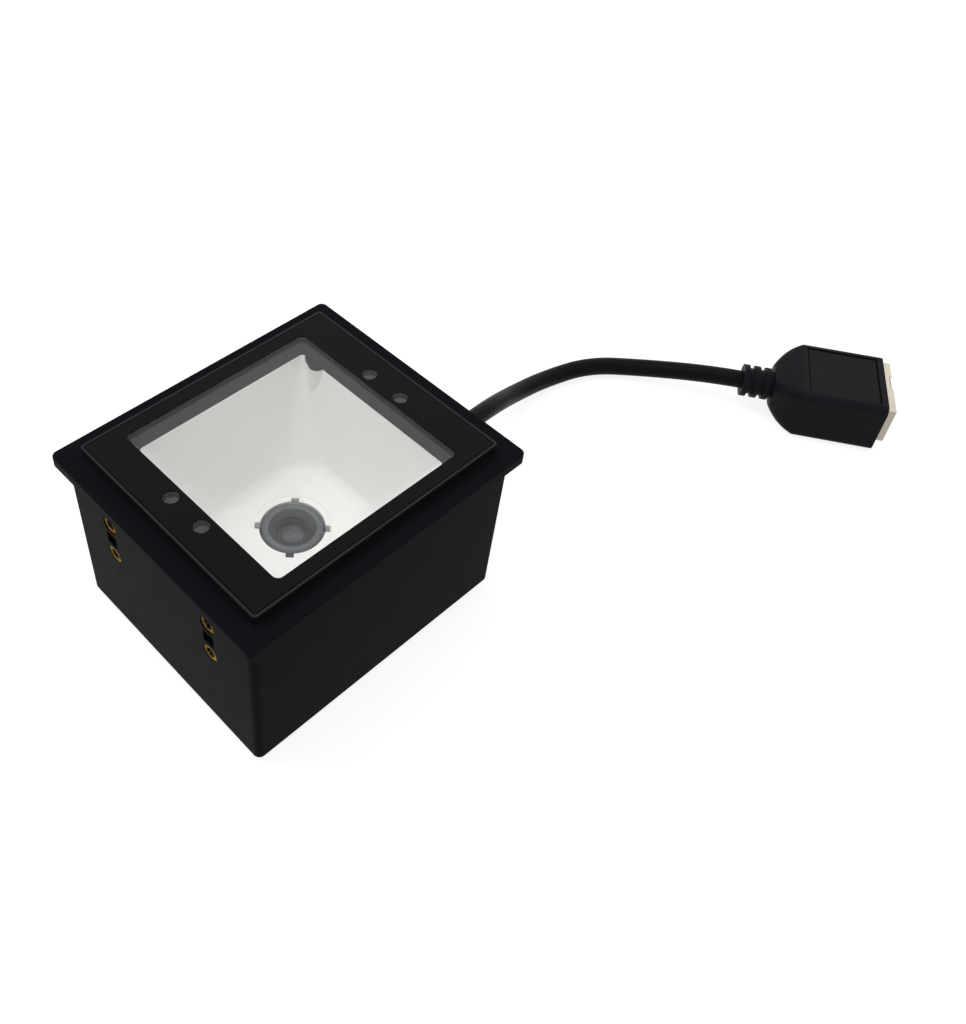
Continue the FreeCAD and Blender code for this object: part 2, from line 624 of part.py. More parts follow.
# Bottom cover: a tapered plate with a lip, board posts and sunk screw holes
cover = body("bottom_cover")
sole = sketch(cover, "sole", level="0")
rounded(sole, f"({SEAM_X} - 2 * dims.cover_step - 2 * dims.cover_taper)",
        f"({SEAM_Y} - 2 * dims.cover_step - 2 * dims.cover_taper)", "dims.body_corner")
rim = sketch(cover, "rim", level=SEAM)
rounded(rim, f"({SEAM_X} - 2 * dims.cover_step)", f"({SEAM_Y} - 2 * dims.cover_step)",
        "dims.body_corner")
loft(cover, "plate", [sole, rim])
lip = sketch(cover, "lip_outline", level=SEAM)
LIP_X = f"({INNER_X} - 2 * dims.fit_gap)"
LIP_Y = f"({INNER_Y} - 2 * dims.fit_gap)"
rounded(lip, LIP_X, LIP_Y, "dims.body_corner * 0.6")
rounded(lip, f"({LIP_X} - 2 * dims.lip_thick)", f"({LIP_Y} - 2 * dims.lip_thick)",
        "dims.body_corner * 0.3")
pad(cover, "lip", lip, "dims.lip_height")
holes(cover, "boss_reliefs", f"{SEAM} + dims.lip_height", "dims.corner_boss_r + dims.fit_gap",
      BOSS_X, BOSS_Y, "dims.lip_height")
rods(cover, "board_posts", SEAM, "dims.board_post_r", "dims.board_post_x",
     "dims.board_post_y", "dims.board_z - dims.cover_thick")
holes(cover, "board_pilots", "dims.board_z", "dims.small_screw_r + dims.turn_gap",
      "dims.board_post_x", "dims.board_post_y", "dims.small_length - dims.board_thick")
holes(cover, "screw_holes", SEAM, "dims.cover_screw_r + dims.fit_gap", BOSS_X, BOSS_Y,
      SEAM)
sink = sketch(cover, "sinks_outline", "XZ_Plane", f"-{BOSS_Y}", BOSS_X)
SINK_TOP = "(dims.cover_head_sink + dims.cover_head_r - dims.cover_screw_r + dims.fit_gap)"
SINK_R = "dims.cover_head_r + dims.fit_gap"
polygon(sink, [("0", "0"), (SINK_R, "0"), (SINK_R, "dims.cover_head_sink"),
               ("dims.cover_screw_r", SINK_TOP), ("0", SINK_TOP)])
sunk = turned(cover, "sinks", sink, kind="Groove")
four_ways(cover, [sunk])


def screws(name, head_face, x, y, head_r, head, shank_r, length, upward=True, sunk_head=False,
           planes=("YZ_Plane", "XZ_Plane")):
    """Alike screws. The head lies on head_face and the shank runs up or down."""
    made = body(name, several=True)
    way = "+" if upward else "-"
    back = "-" if upward else "+"
    drawing = sketch(made, "profile", "XZ_Plane", f"-({y})", x)
    if sunk_head:
        cone = f"{head_r} - {shank_r}"
        polygon(drawing, [("0", head_face), (head_r, head_face),
                          (shank_r, f"{head_face} {way} ({cone})"),
                          (shank_r, f"{head_face} {way} ({length})"),
                          ("0", f"{head_face} {way} ({length})")])
    else:
        polygon(drawing, [("0", f"{head_face} {back} {head}"),
                          (f"{head_r} * 0.85", f"{head_face} {back} {head}"),
                          (head_r, f"{head_face} {back} {head} * 0.7"),
                          (head_r, head_face), (shank_r, head_face),
                          (shank_r, f"{head_face} {way} ({length})"),
                          ("0", f"{head_face} {way} ({length})")])
    one = turned(made, "screw", drawing)
    mirrored(made, [one], planes)
    return made


screws("cover_screws", "dims.cover_head_sink", BOSS_X, BOSS_Y, "dims.cover_head_r", "0",
       "dims.cover_screw_r", "dims.cover_screw_length", sunk_head=True)

# Panel: printed mask on a glass plate, bonded to the ledge by an adhesive frame
PANEL_X = f"({RECESS_X} - 2 * dims.panel_gap)"
PANEL_Y = f"({RECESS_Y} - 2 * dims.panel_gap)"
PANEL_CORNER = "(dims.bezel_corner * 0.5)"
mask = body("panel_print")
drawing = sketch(mask, "outline", level=MASK_LOW)
rounded(drawing, PANEL_X, PANEL_Y, PANEL_CORNER)
rounded(drawing, "dims.window_x", "dims.window_y", "dims.window_corner")
four_circles(drawing, "dims.spot_r", "dims.spot_x", "dims.spot_y")
pad(mask, "sheet", drawing, "dims.mask_thick")
glass = body("window_glass")
slab(glass, "plate", GLASS_LOW, PANEL_X, PANEL_Y, PANEL_CORNER, "dims.glass_thick")
tape = body("window_tape")
drawing = sketch(tape, "outline", level=LEDGE)
rounded(drawing, f"({PANEL_X} - 2 * dims.tape_inset)", f"({PANEL_Y} - 2 * dims.tape_inset)",
        PANEL_CORNER)
rounded(drawing, "(dims.window_x + 4 * dims.fit_gap)", "(dims.window_y + 4 * dims.fit_gap)",
        "dims.window_corner")
four_circles(drawing, "dims.spot_r + dims.fit_gap", "dims.spot_x", "dims.spot_y")
pad(tape, "frame", drawing, "dims.tape_thick")

# Reflector: a white tapered cup with a notched lens hole, ears and legs
cup = body("reflector")
drawing = sketch(cup, "flange_outline", level=f"{ROOF} - dims.cup_wall")
rounded(drawing, "(dims.cup_top + 2 * dims.cup_flange)", "(dims.cup_top + 2 * dims.cup_flange)",
        "dims.body_corner")
pad(cup, "flange", drawing, "dims.cup_wall")
for side, south, north in (("near", "-dims.ear_y - dims.ear_r", "-dims.ear_y + dims.ear_r"),
                           ("far", "dims.ear_y - dims.ear_r", "dims.ear_y + dims.ear_r")):
    block(cup, f"ears_{side}", f"{ROOF} - dims.cup_wall", "-dims.ear_x - dims.ear_r * 0.8",
          "dims.ear_x + dims.ear_r * 0.8", south, north, "dims.cup_wall")
low = sketch(cup, "outer_low", level=CUP_UNDER)
rounded(low, "(dims.cup_floor_x + 2 * dims.cup_wall)", "(dims.cup_floor_y + 2 * dims.cup_wall)",
        "(dims.cup_floor_corner + dims.cup_wall)")
high = sketch(cup, "outer_high", level=ROOF)
rounded(high, "(dims.cup_top + 2 * dims.cup_wall)", "(dims.cup_top + 2 * dims.cup_wall)",
        "(dims.cup_top_corner + dims.cup_wall)")
loft(cup, "shell", [low, high])
low = sketch(cup, "inner_low", level=CUP_FLOOR)
rounded(low, "dims.cup_floor_x", "dims.cup_floor_y", "dims.cup_floor_corner")
high = sketch(cup, "inner_high", level=ROOF)
rounded(high, "dims.cup_top", "dims.cup_top", "dims.cup_top_corner")
loft(cup, "hollow", [low, high], "SubtractiveLoft")
cup_floor = size(CUP_FLOOR)
fillet(cup, "floor_round", "dims.cup_blend", lambda box: level_edge(box, cup_floor))
drawing = sketch(cup, "bulge_outline", level=f"{ROOF} - dims.bulge_drop")
circle(drawing, "dims.bulge_r", "dims.cup_top / 2", "dims.bulge_y")
pad(cup, "bulge", drawing, "dims.bulge_drop")
drawing = sketch(cup, "post_relief_outline", level=ROOF)
circle(drawing, "dims.post_r + dims.fit_gap", POST_X, POST_Y)
pocket(cup, "post_relief", drawing, "dims.post_drop + dims.fit_gap")
drawing = sketch(cup, "collar_outline", level=f"{CUP_UNDER} - dims.collar_drop")
circle(drawing, "dims.collar_r")
pad(cup, "collar", drawing, "dims.collar_drop + dims.cup_wall / 2")
THROUGH_FLOOR = "(dims.cup_wall + dims.collar_drop)"
drawing = sketch(cup, "lens_hole_outline", level=CUP_FLOOR)
circle(drawing, "dims.hole_r")
pocket(cup, "lens_hole", drawing, THROUGH_FLOOR)
drawing = sketch(cup, "ring_outline", level=CUP_FLOOR)
circle(drawing, "dims.ring_r")
pocket(cup, "ring_step", drawing, "dims.ring_step")
for angle in (45, 135):
    drawing = sketch(cup, f"notches_{angle}_outline", level=CUP_FLOOR, turn=angle)
    centred(drawing, "2 * dims.notch_reach", "dims.notch_width")
    pocket(cup, f"notches_{angle}", drawing, THROUGH_FLOOR)
rods(cup, "legs", CAMERA_TOP, "dims.leg_r", "dims.leg_x", "dims.leg_y",
     f"{CUP_UNDER} - {CAMERA_TOP} + dims.ring_step")
holes(cup, "leg_pilots", f"{CAMERA_TOP} + dims.small_length",
      "dims.small_screw_r + dims.turn_gap", "dims.leg_x", "dims.leg_y", "dims.small_length")
holes(cup, "ear_holes", ROOF, "dims.small_screw_r + dims.fit_gap", "dims.ear_x", "dims.ear_y",
      "dims.cup_wall")
drawing = sketch(cup, "light_posts_outline", level=LIGHT_TOP)
for y in ("-dims.light_post_y", "dims.light_post_y"):
    circle(drawing, "dims.leg_r", "0", y)
pad(cup, "light_posts", drawing, "dims.light_drop + dims.ring_step")
drawing = sketch(cup, "light_pilots_outline", level=f"{LIGHT_TOP} + dims.light_drop")
for y in ("-dims.light_post_y", "dims.light_post_y"):
    circle(drawing, "dims.small_screw_r + dims.turn_gap", "0", y)
pocket(cup, "light_pilots", drawing, "dims.light_drop")
screws("reflector_screws", f"{ROOF} - dims.cup_wall", "dims.ear_x", "dims.ear_y",
       "dims.small_head_r", "dims.small_head", "dims.small_screw_r",
       "(dims.cup_wall + dims.roof_wall * 0.6)")
screws("camera_screws", CAMERA_LOW, "dims.leg_x", "dims.leg_y", "dims.small_head_r",
       "dims.small_head", "dims.small_screw_r", "dims.small_length")
screws("board_screws", BOARD_TOP, "dims.board_post_x", "dims.board_post_y",
       "dims.small_head_r", "dims.small_head", "dims.small_screw_r",
       "(dims.small_length - 0.3)", upward=False)
screws("strip_screws", STRIP_LOW, "dims.spot_x", "dims.strip_pin_y",
       "dims.small_head_r * 0.8", "dims.small_head * 0.8", "dims.small_screw_r * 0.8",
       "(dims.small_length * 0.5 + dims.strip_thick * 0.5)")


def plate_with_holes(name, level, thick, wide, tall, radius, hole_radius, x, y):
    made = body(name)
    drawing = sketch(made, "outline", level=level)
    rounded(drawing, wide, tall, radius)
    four_circles(drawing, hole_radius, x, y)
    pad(made, "board", drawing, thick)
    return made


# Boards and what stands on them
main_board = plate_with_holes("main_board", "dims.board_z", "dims.board_thick", "dims.board_x",
                              "dims.board_y", "1.0", "dims.small_screw_r + dims.fit_gap",
                              "dims.board_post_x", "dims.board_post_y")
holes(main_board, "corner_reliefs", BOARD_TOP, "dims.corner_boss_r + 2 * dims.fit_gap",
      BOSS_X, BOSS_Y, "dims.board_thick")
camera_board = plate_with_holes("camera_board", CAMERA_LOW, "dims.camera_thick",
                                "dims.camera_x", "dims.camera_y", "1.0",
                                "dims.small_screw_r + dims.fit_gap", "dims.leg_x", "dims.leg_y")
light_board = body("lamp_board")
drawing = sketch(light_board, "outline", level=LIGHT_LOW)
rounded(drawing, "dims.light_x", "dims.light_y", "1.0")
circle(drawing, "dims.light_hole_r")
four_circles(drawing, "dims.leg_r + dims.fit_gap", "dims.leg_x", "dims.leg_y")
for y in ("-dims.light_post_y", "dims.light_post_y"):
    circle(drawing, "dims.small_screw_r + dims.fit_gap", "0", y)
pad(light_board, "board", drawing, "dims.light_thick")
screws("lamp_screws", LIGHT_LOW, "0", "dims.light_post_y", "dims.small_head_r", "dims.small_head",
       "dims.small_screw_r", "dims.small_length * 0.6", planes=("XZ_Plane",))
lamps = body("lamps", several=True)
drawing = sketch(lamps, "outline", level=LIGHT_TOP, turn=45)
for x, y in (("dims.lamp_reach", "0"), ("-dims.lamp_reach", "0"),
             ("0", "dims.lamp_reach"), ("0", "-dims.lamp_reach")):
    centred(drawing, "dims.lamp_side", "dims.lamp_side", x, y)
pad(lamps, "packages", drawing, "dims.lamp_height")


def box(name, level, wide, deep, x, y, height):
    """A single plain block that stands on a level."""
    made = body(name)
    drawing = sketch(made, "outline", level=level)
    centred(drawing, wide, deep, x, y)
    pad(made, "block", drawing, height)
    return made


PIN_SPOTS = [f"{k} * dims.pin_pitch" for k in (-2.5, -1.5, -0.5, 0.5, 1.5, 2.5)]
lamp_header = box("lamp_header", CAMERA_TOP, "2.4", "8.4", "-dims.pin_x", "0", "2.0")
drawing = sketch(lamp_header, "pin_holes_outline", level=f"{CAMERA_TOP} + 2.0")
for y in PIN_SPOTS:
    centred(drawing, "dims.pin_side", "dims.pin_side", "-dims.pin_x", y)
pocket(lamp_header, "pin_holes", drawing, "2.0")
lamp_pins = body("lamp_pins", several=True)
drawing = sketch(lamp_pins, "outline", level=CAMERA_TOP)
for y in PIN_SPOTS:
    centred(drawing, "dims.pin_side", "dims.pin_side", "-dims.pin_x", y)
pad(lamp_pins, "pins", drawing, f"{LIGHT_LOW} - {CAMERA_TOP}")

# Camera: sensor, filter, holder, barrel with two lenses, hood ring
box("image_sensor", CAMERA_TOP, "dims.sensor_x", "dims.sensor_y", "0", "0",
    "dims.sensor_thick")
box("infrared_filter", FILTER_LOW, "dims.filter_side", "dims.filter_side", "0", "0",
    "dims.filter_thick")
FILTER_TOP = f"({FILTER_LOW} + dims.filter_thick)"
BORE_LOW = f"({FILTER_TOP} + 0.3)"
holder = box("lens_holder", CAMERA_TOP, "dims.holder_side", "dims.holder_side", "0", "0",
             "dims.holder_base")
drawing = sketch(holder, "tower_outline", level=f"{CAMERA_TOP} + dims.holder_base")
circle(drawing, "dims.holder_r")
pad(holder, "tower", drawing, f"{HOLDER_TOP} - {CAMERA_TOP} - dims.holder_base")
drawing = sketch(holder, "bore_outline", level=HOLDER_TOP)
circle(drawing, "dims.barrel_r + dims.turn_gap")
pocket(holder, "bore", drawing, f"{HOLDER_TOP} - {BORE_LOW}")
drawing = sketch(holder, "aperture_outline", level=BORE_LOW)
circle(drawing, "dims.filter_side / 2 - 0.4")
pocket(holder, "aperture", drawing, f"{BORE_LOW} - {CAMERA_TOP}")
drawing = sketch(holder, "filter_seat_outline", level=FILTER_TOP)
centred(drawing, "(dims.filter_side + dims.fit_gap)", "(dims.filter_side + dims.fit_gap)")
pocket(holder, "filter_seat", drawing, f"{FILTER_TOP} - {CAMERA_TOP}")
drawing = sketch(holder, "chamber_outline", level=FILTER_LOW)
centred(drawing, "(dims.filter_side + 2.0)", "(dims.filter_side + 2.0)")
pocket(holder, "chamber", drawing, f"{FILTER_LOW} - {CAMERA_TOP}")
LENS_GAP = "dims.turn_gap * 2"
barrel = body("lens_barrel")
drawing = sketch(barrel, "profile", "XZ_Plane")
polygon(drawing, [(f"dims.rear_lens_r + {LENS_GAP}", BARREL_LOW), ("dims.barrel_r", BARREL_LOW),
                  ("dims.barrel_r", BARREL_TOP), (f"dims.lens_r + {LENS_GAP}", BARREL_TOP),
                  (f"dims.lens_r + {LENS_GAP}", LENS_SEAT), ("dims.iris_r", LENS_SEAT),
                  ("dims.iris_r", REAR_SEAT), (f"dims.rear_lens_r + {LENS_GAP}", REAR_SEAT)])
turned(barrel, "barrel", drawing)


def lens(name, radius, flat, edge, bulge):
    """A lens with one flat face and one dome. A negative bulge turns it over."""
    made = body(name)
    drawing = sketch(made, "profile", "XZ_Plane")
    r, low, rim, height = size(radius), size(flat), size(edge), size(bulge)
    tip = rim + height
    ball = (r * r + height * height) / (2 * height)
    spots = [FreeCAD.Vector(*p, 0) for p in ((0, low), (r, low), (r, rim), (0, tip))]
    halfway = tip - ball + math.copysign(math.sqrt(ball * ball - r * r / 4), height)
    drawing.addGeometry(Part.LineSegment(spots[0], spots[1]), False)
    drawing.addGeometry(Part.LineSegment(spots[1], spots[2]), False)
    drawing.addGeometry(Part.Arc(spots[2], FreeCAD.Vector(r / 2, halfway, 0), spots[3]), False)
    drawing.addGeometry(Part.LineSegment(spots[3], spots[0]), False)
    start, end = (1, 2) if height > 0 else (2, 1)
    for here, its, after, at in ((0, 2, 1, 1), (1, 2, 2, start), (2, end, 3, 1), (3, 2, 0, 1)):
        drawing.addConstraint(Sketcher.Constraint("Coincident", here, its, after, at))
    tie(drawing, "DistanceX", (-1, 1, 0, 1), "0")
    tie(drawing, "DistanceY", (-1, 1, 0, 1), flat)
    tie(drawing, "DistanceX", (-1, 1, 1, 1), radius)
    tie(drawing, "DistanceY", (-1, 1, 1, 1), flat)
    tie(drawing, "DistanceX", (-1, 1, 1, 2), radius)
    tie(drawing, "DistanceY", (-1, 1, 1, 2), edge)
    tie(drawing, "DistanceX", (-1, 1, 3, 1), "0")
    tie(drawing, "DistanceY", (-1, 1, 3, 1), f"{edge} + {bulge}")
    tie(drawing, "DistanceX", (-1, 1, 2, 3), "0")
    return turned(made, "lens", drawing)


lens("front_lens", "dims.lens_r", LENS_SEAT, f"{LENS_SEAT} + 1.0", "0.5")
lens("rear_lens", "dims.rear_lens_r", REAR_SEAT, f"{REAR_SEAT} - 0.9", "-0.4")
ring = body("lens_ring")
drawing = sketch(ring, "profile", "XZ_Plane")
RING_LOW = f"({LENS_SEAT} + 1.25)"
polygon(drawing, [("dims.lens_r - 0.9", RING_LOW), ("dims.lens_r + dims.turn_gap", RING_LOW),
                  ("dims.lens_r + dims.turn_gap", BARREL_TOP), ("dims.lens_r - 0.6", BARREL_TOP)])
turned(ring, "ring", drawing)
hood = body("lens_hood")
drawing = sketch(hood, "profile", "XZ_Plane")
HOOD_LIP = f"({BARREL_TOP} + 0.1)"
HOOD_BORE = "dims.barrel_r + dims.fit_gap"
polygon(drawing, [(HOOD_BORE, HOLDER_TOP), ("dims.hood_r", HOLDER_TOP),
                  ("dims.hood_r", f"{HOOD_TOP} - 0.5"), ("dims.hood_r - 0.35", HOOD_TOP),
                  ("dims.hood_mouth", HOOD_TOP), ("dims.hood_throat", f"{HOOD_LIP} + 0.4"),
                  ("dims.hood_throat", HOOD_LIP), (HOOD_BORE, HOOD_LIP)])
turned(hood, "hood", drawing)

# Main board parts
box("decoder_chip", BOARD_TOP, "dims.chip_side", "dims.chip_side", "0", "0", "dims.chip_high")
box("memory_chip", BOARD_TOP, "dims.memory_long", "dims.memory_wide", "dims.memory_x",
    "dims.memory_y", "dims.memory_high")
box("power_inductor", BOARD_TOP, "dims.coil_side", "dims.coil_side", "dims.coil_x",
    "dims.coil_y", "dims.coil_high")
buzzer = body("buzzer")
drawing = sketch(buzzer, "outline", level=BOARD_TOP)
circle(drawing, "dims.buzzer_r", "dims.coil_x", "dims.buzzer_y")
pad(buzzer, "case", drawing, "dims.buzzer_high")
drawing = sketch(buzzer, "sound_hole_outline", level=f"{BOARD_TOP} + dims.buzzer_high")
circle(drawing, "dims.buzzer_hole_r", "dims.coil_x", "dims.buzzer_y")
pocket(buzzer, "sound_hole", drawing, "dims.buzzer_hole_deep")
for name, wide, deep, height, spots in (
    ("board_capacitors", "2.0", "1.25", "0.9",
     (("-9", "-4"), ("-9", "0"), ("9", "-4"), ("9", "0"), ("-22", "12"), ("16", "-17"),
      ("8", "-12"), ("-6", "-18"))),
    ("board_resistors", "1.6", "0.8", "0.5",
     (("-9", "-10"), ("-6", "-10"), ("-3", "-10"), ("0", "-10"), ("3", "-10"),
      ("0", "17"), ("4", "17"), ("8", "18.5"), ("12", "18.5"), ("-12", "17")))):
    group = body(name, several=True)
    drawing = sketch(group, "outline", level=BOARD_TOP)
    for x, y in spots:
        centred(drawing, wide, deep, x, y)
    pad(group, "parts", drawing, height)
LINK_SPLIT = f"({BOARD_TOP} + ({CAMERA_LOW} - {BOARD_TOP}) * dims.link_share)"
box("board_header", BOARD_TOP, "dims.link_long", "dims.link_wide", "-dims.link_x",
    "dims.link_y", f"{LINK_SPLIT} - {BOARD_TOP}")
box("board_socket", LINK_SPLIT, "dims.link_long", "dims.link_wide", "-dims.link_x",
    "dims.link_y", f"{CAMERA_LOW} - {LINK_SPLIT}")
header = box("cable_header", BOARD_TOP, "dims.plug_deep", "dims.plug_wide", "dims.plug_x", "0",
             f"dims.header_top - {BOARD_TOP}")
drawing = sketch(header, "socket_outline", level="dims.header_top")
centred(drawing, "(dims.plug_deep - 1.6)", "(dims.plug_wide - 1.6)", "dims.plug_x", "0")
pocket(header, "socket", drawing, "dims.header_top - dims.plug_low")
box("cable_plug", "dims.plug_low", "(dims.plug_deep - 2.0)", "(dims.plug_wide - 2.0)",
    "dims.plug_x", "0", "dims.plug_top - dims.plug_low")
GLAND_INNER = f"({INNER_X} / 2 - dims.gland_flange_thick)"
wires = body("lead_wires", several=True)
for k in (-2, -1, 0, 1, 2):
    y = f"{k} * dims.wire_pitch"
    route = sketch(wires, f"route_{k + 2}", "XZ_Plane", f"-({y})")
    x0, x1, top = size(GLAND_INNER), size("dims.plug_x"), size("dims.gland_z")
    bend, low = size("dims.wire_bend"), size("dims.plug_top")
    middle = FreeCAD.Vector(x1 + bend, top - bend, 0)
    route.addGeometry(Part.LineSegment(FreeCAD.Vector(x0, top, 0),
                                       FreeCAD.Vector(x1 + bend, top, 0)), False)
    arc = Part.Circle(middle, FreeCAD.Vector(0, 0, 1), bend)
    route.addGeometry(Part.ArcOfCircle(arc, math.pi / 2, math.pi), False)
    route.addGeometry(Part.LineSegment(FreeCAD.Vector(x1, top - bend, 0),
                                       FreeCAD.Vector(x1, low, 0)), False)
    route.addConstraint(Sketcher.Constraint("Tangent", 0, 2, 1, 1))
    route.addConstraint(Sketcher.Constraint("Tangent", 1, 2, 2, 1))
    tie(route, "DistanceX", (-1, 1, 0, 1), GLAND_INNER)
    tie(route, "DistanceY", (-1, 1, 0, 1), "dims.gland_z")
    tie(route, "DistanceY", (-1, 1, 0, 2), "dims.gland_z")
    tie(route, "Radius", (1,), "dims.wire_bend")
    tie(route, "DistanceX", (-1, 1, 2, 2), "dims.plug_x")
    tie(route, "DistanceX", (-1, 1, 2, 1), "dims.plug_x")
    tie(route, "DistanceY", (-1, 1, 2, 2), "dims.plug_top")
    section = sketch(wires, f"section_{k + 2}", "YZ_Plane", GLAND_INNER)
    circle(section, "dims.wire_r", y, "dims.gland_z")
    wire = wires.newObject("PartDesign::AdditivePipe", f"wire_{k + 2}")
    wire.Profile = section
    wire.Spine = (route, ["Edge1", "Edge2", "Edge3"])
    wires.Tip = wire
    settle()

# Indicators: two strips with lamps, light guides up to the clear spots, ribbons
strips = body("indicator_boards", several=True)
drawing = sketch(strips, "outline", level=STRIP_LOW)
for x in ("-dims.spot_x", "dims.spot_x"):
    centred(drawing, "dims.strip_x", "dims.strip_y", x, "0")
four_circles(drawing, "dims.small_screw_r * 0.8 + dims.fit_gap", "dims.spot_x",
             "dims.strip_pin_y")
pad(strips, "boards", drawing, "dims.strip_thick")
marks = body("indicator_lamps", several=True)
drawing = sketch(marks, "outline", level=STRIP_TOP)
for x in ("-dims.spot_x", "dims.spot_x"):
    for y in ("-dims.spot_y", "dims.spot_y"):
        centred(drawing, "2.0", "1.25", x, y)
pad(marks, "packages", drawing, "0.7")
guides = body("light_guides", several=True)
rods(guides, "rods", f"{STRIP_TOP} + 0.9", "dims.guide_r", "dims.spot_x", "dims.spot_y",
     f"{LEDGE} - {STRIP_TOP} - 0.9")
rods(guides, "collars", f"{ROOF} - 0.8", "dims.guide_r + 0.7", "dims.spot_x", "dims.spot_y",
     "0.8")
ribbons = body("indicator_ribbons", several=True)
drawing = sketch(ribbons, "outline", level=BOARD_TOP)
for x in ("-dims.ribbon_x", "dims.ribbon_x"):
    centred(drawing, "dims.ribbon_thick", "dims.ribbon_wide", x, "dims.ribbon_y")
pad(ribbons, "ribbons", drawing, f"{STRIP_LOW} - {BOARD_TOP}")

# Brass inserts in the short wall
inserts = body("threaded_inserts", several=True)
drawing = sketch(inserts, "outline", "YZ_Plane", INSERT_FACE)
for across in ("-dims.insert_y", "dims.insert_y"):
    for up in ("-", "+"):
        height = f"dims.insert_z {up} dims.insert_pitch / 2"
        circle(drawing, "dims.insert_r", across, height)
        circle(drawing, "dims.insert_bore", across, height)
pad(inserts, "sleeves", drawing, "dims.insert_length")

# Cable exit: a moulded gland that grips the wall
gland = body("cable_gland")
drawing = sketch(gland, "profile", "XZ_Plane", y="dims.gland_z")
INNER_WALL = f"({INNER_X} / 2)"
GLAND_SHOULDER = f"({GLAND_START} + dims.gland_flange_thick)"
polygon(drawing, [(GLAND_INNER, "0"), (GLAND_INNER, "dims.gland_flange_r * 0.92"),
                  (INNER_WALL, "dims.gland_flange_r * 0.92"), (INNER_WALL, "dims.gland_neck_r"),
                  (GLAND_START, "dims.gland_neck_r"), (GLAND_START, "dims.gland_flange_r"),
                  (f"{GLAND_SHOULDER} - 0.5", "dims.gland_flange_r"),
                  (GLAND_SHOULDER, "dims.gland_flange_r - 0.5"),
                  (GLAND_SHOULDER, "dims.cable_r + 1.3"), (CABLE_START, "dims.cable_r + 0.5"),
                  (CABLE_START, "0")])
turned(gland, "gland", drawing, "H_Axis")

# Cable: straight runs joined by tangent arcs, resting on the floor midway
socket_middle = FreeCAD.Vector(size("dims.socket_x"), size("dims.socket_y"),
                               size("dims.socket_tall / 2"))
socket_yaw = math.radians(size("dims.socket_yaw"))
backward = FreeCAD.Vector(-math.cos(socket_yaw), -math.sin(socket_yaw), 0)
route = [
    FreeCAD.Vector(size(CABLE_START), 0, size("dims.gland_z")),
    FreeCAD.Vector(57.5, 0, 16),
    FreeCAD.Vector(72, 2, 13),
    FreeCAD.Vector(86, 5.5, 6),
    FreeCAD.Vector(101, 5.6, 2.65),
    FreeCAD.Vector(115.3, 0.6, 3.05),
    FreeCAD.Vector(126, -10, 3.05),
    socket_middle + backward * size(f"{RELIEF_END} + dims.cable_lead"),
    socket_middle + backward * size(RELIEF_END),
]


def tube(name, points, radius):
    """A round cord along straight runs, with an arc at each turn."""
    pieces = []
    length = 0
    start = points[0]
    for before, here, after in zip(points[:-2], points[1:-1], points[2:]):
        inward = (here - before).normalize()
        outward = (after - here).normalize()
        turn = inward.getAngle(outward)
        reach = 0.45 * min((here - before).Length, (after - here).Length)
        arc_radius = reach / math.tan(turn / 2)
        print(f"{name}: arc radius {arc_radius:.1f} mm, turn {math.degrees(turn):.1f} degrees")
        first, last = here - inward * reach, here + outward * reach
        bisector = (outward - inward).normalize()
        depth = arc_radius * (1 / math.cos(turn / 2) - 1)
        pieces.append(Part.LineSegment(start, first).toShape())
        pieces.append(Part.Arc(first, here + bisector * depth, last).toShape())
        length += (first - start).Length + arc_radius * turn
        start = last
    pieces.append(Part.LineSegment(start, points[-1]).toShape())
    length += (points[-1] - start).Length
    spine = Part.Wire(pieces)
    along = (points[1] - points[0]).normalize()
    ends = Part.Wire(Part.Circle(points[0], along, radius).toShape())
    made = doc.addObject("Part::Feature", name)
    made.Label = name
    made.Shape = spine.makePipeShell([ends], True, True)
    made.Placement = FreeCAD.Placement()
    bodies[name] = made
    section = math.pi * radius * radius
    print(f"{name}: length {length:.1f} mm, volume {made.Shape.Volume:.1f}"
          f" against {section * length:.1f} cubic mm")
    return made


tube("cable", route, size("dims.cable_r"))


def place_by_socket(made):
    """Puts a piece modelled about the socket's own front into the whole."""
    made.Placement = FreeCAD.Placement(
        FreeCAD.Vector(size("dims.socket_x"), size("dims.socket_y"), 0),
        FreeCAD.Rotation(FreeCAD.Vector(0, 0, 1), size("dims.socket_yaw")),
    )
    made.setExpression("Placement.Base.x", "dims.socket_x")
    made.setExpression("Placement.Base.y", "dims.socket_y")
    made.setExpression("Placement.Rotation.Angle", "dims.socket_yaw")


# Modular socket: overmould with shoulder, strain relief and plain recess
SOCKET_MIDDLE = "dims.socket_tall / 2"
shell = body("socket_body")
drawing = sketch(shell, "section_outline", "YZ_Plane", "-dims.socket_long")
rounded(drawing, "dims.socket_wide", "(dims.socket_tall - dims.grip_deep)",
        "dims.socket_corner", "0", f"({SOCKET_MIDDLE} + dims.grip_deep / 2)")
pad(shell, "section", drawing, "dims.socket_long")
SHOULDER_MID = "(-dims.socket_long - dims.shoulder_long * 0.55)"
wide_end = sketch(shell, "shoulder_start", "YZ_Plane", "-dims.socket_long")
rounded(wide_end, "dims.socket_wide", "(dims.socket_tall - dims.grip_deep)",
        "dims.socket_corner", "0", f"({SOCKET_MIDDLE} + dims.grip_deep / 2)")
mid = sketch(shell, "shoulder_middle", "YZ_Plane", SHOULDER_MID)
rounded(mid, "(dims.socket_wide * 0.35 + dims.shoulder_wide * 0.65 + 1.4)",
        "(dims.socket_tall * 0.35 + dims.shoulder_tall * 0.65 + 0.9)",
        "(dims.socket_corner * 1.2)", "0", f"({SOCKET_MIDDLE} + dims.grip_deep / 4)")
narrow = sketch(shell, "shoulder_end", "YZ_Plane", f"-{SOCKET_REAR}")
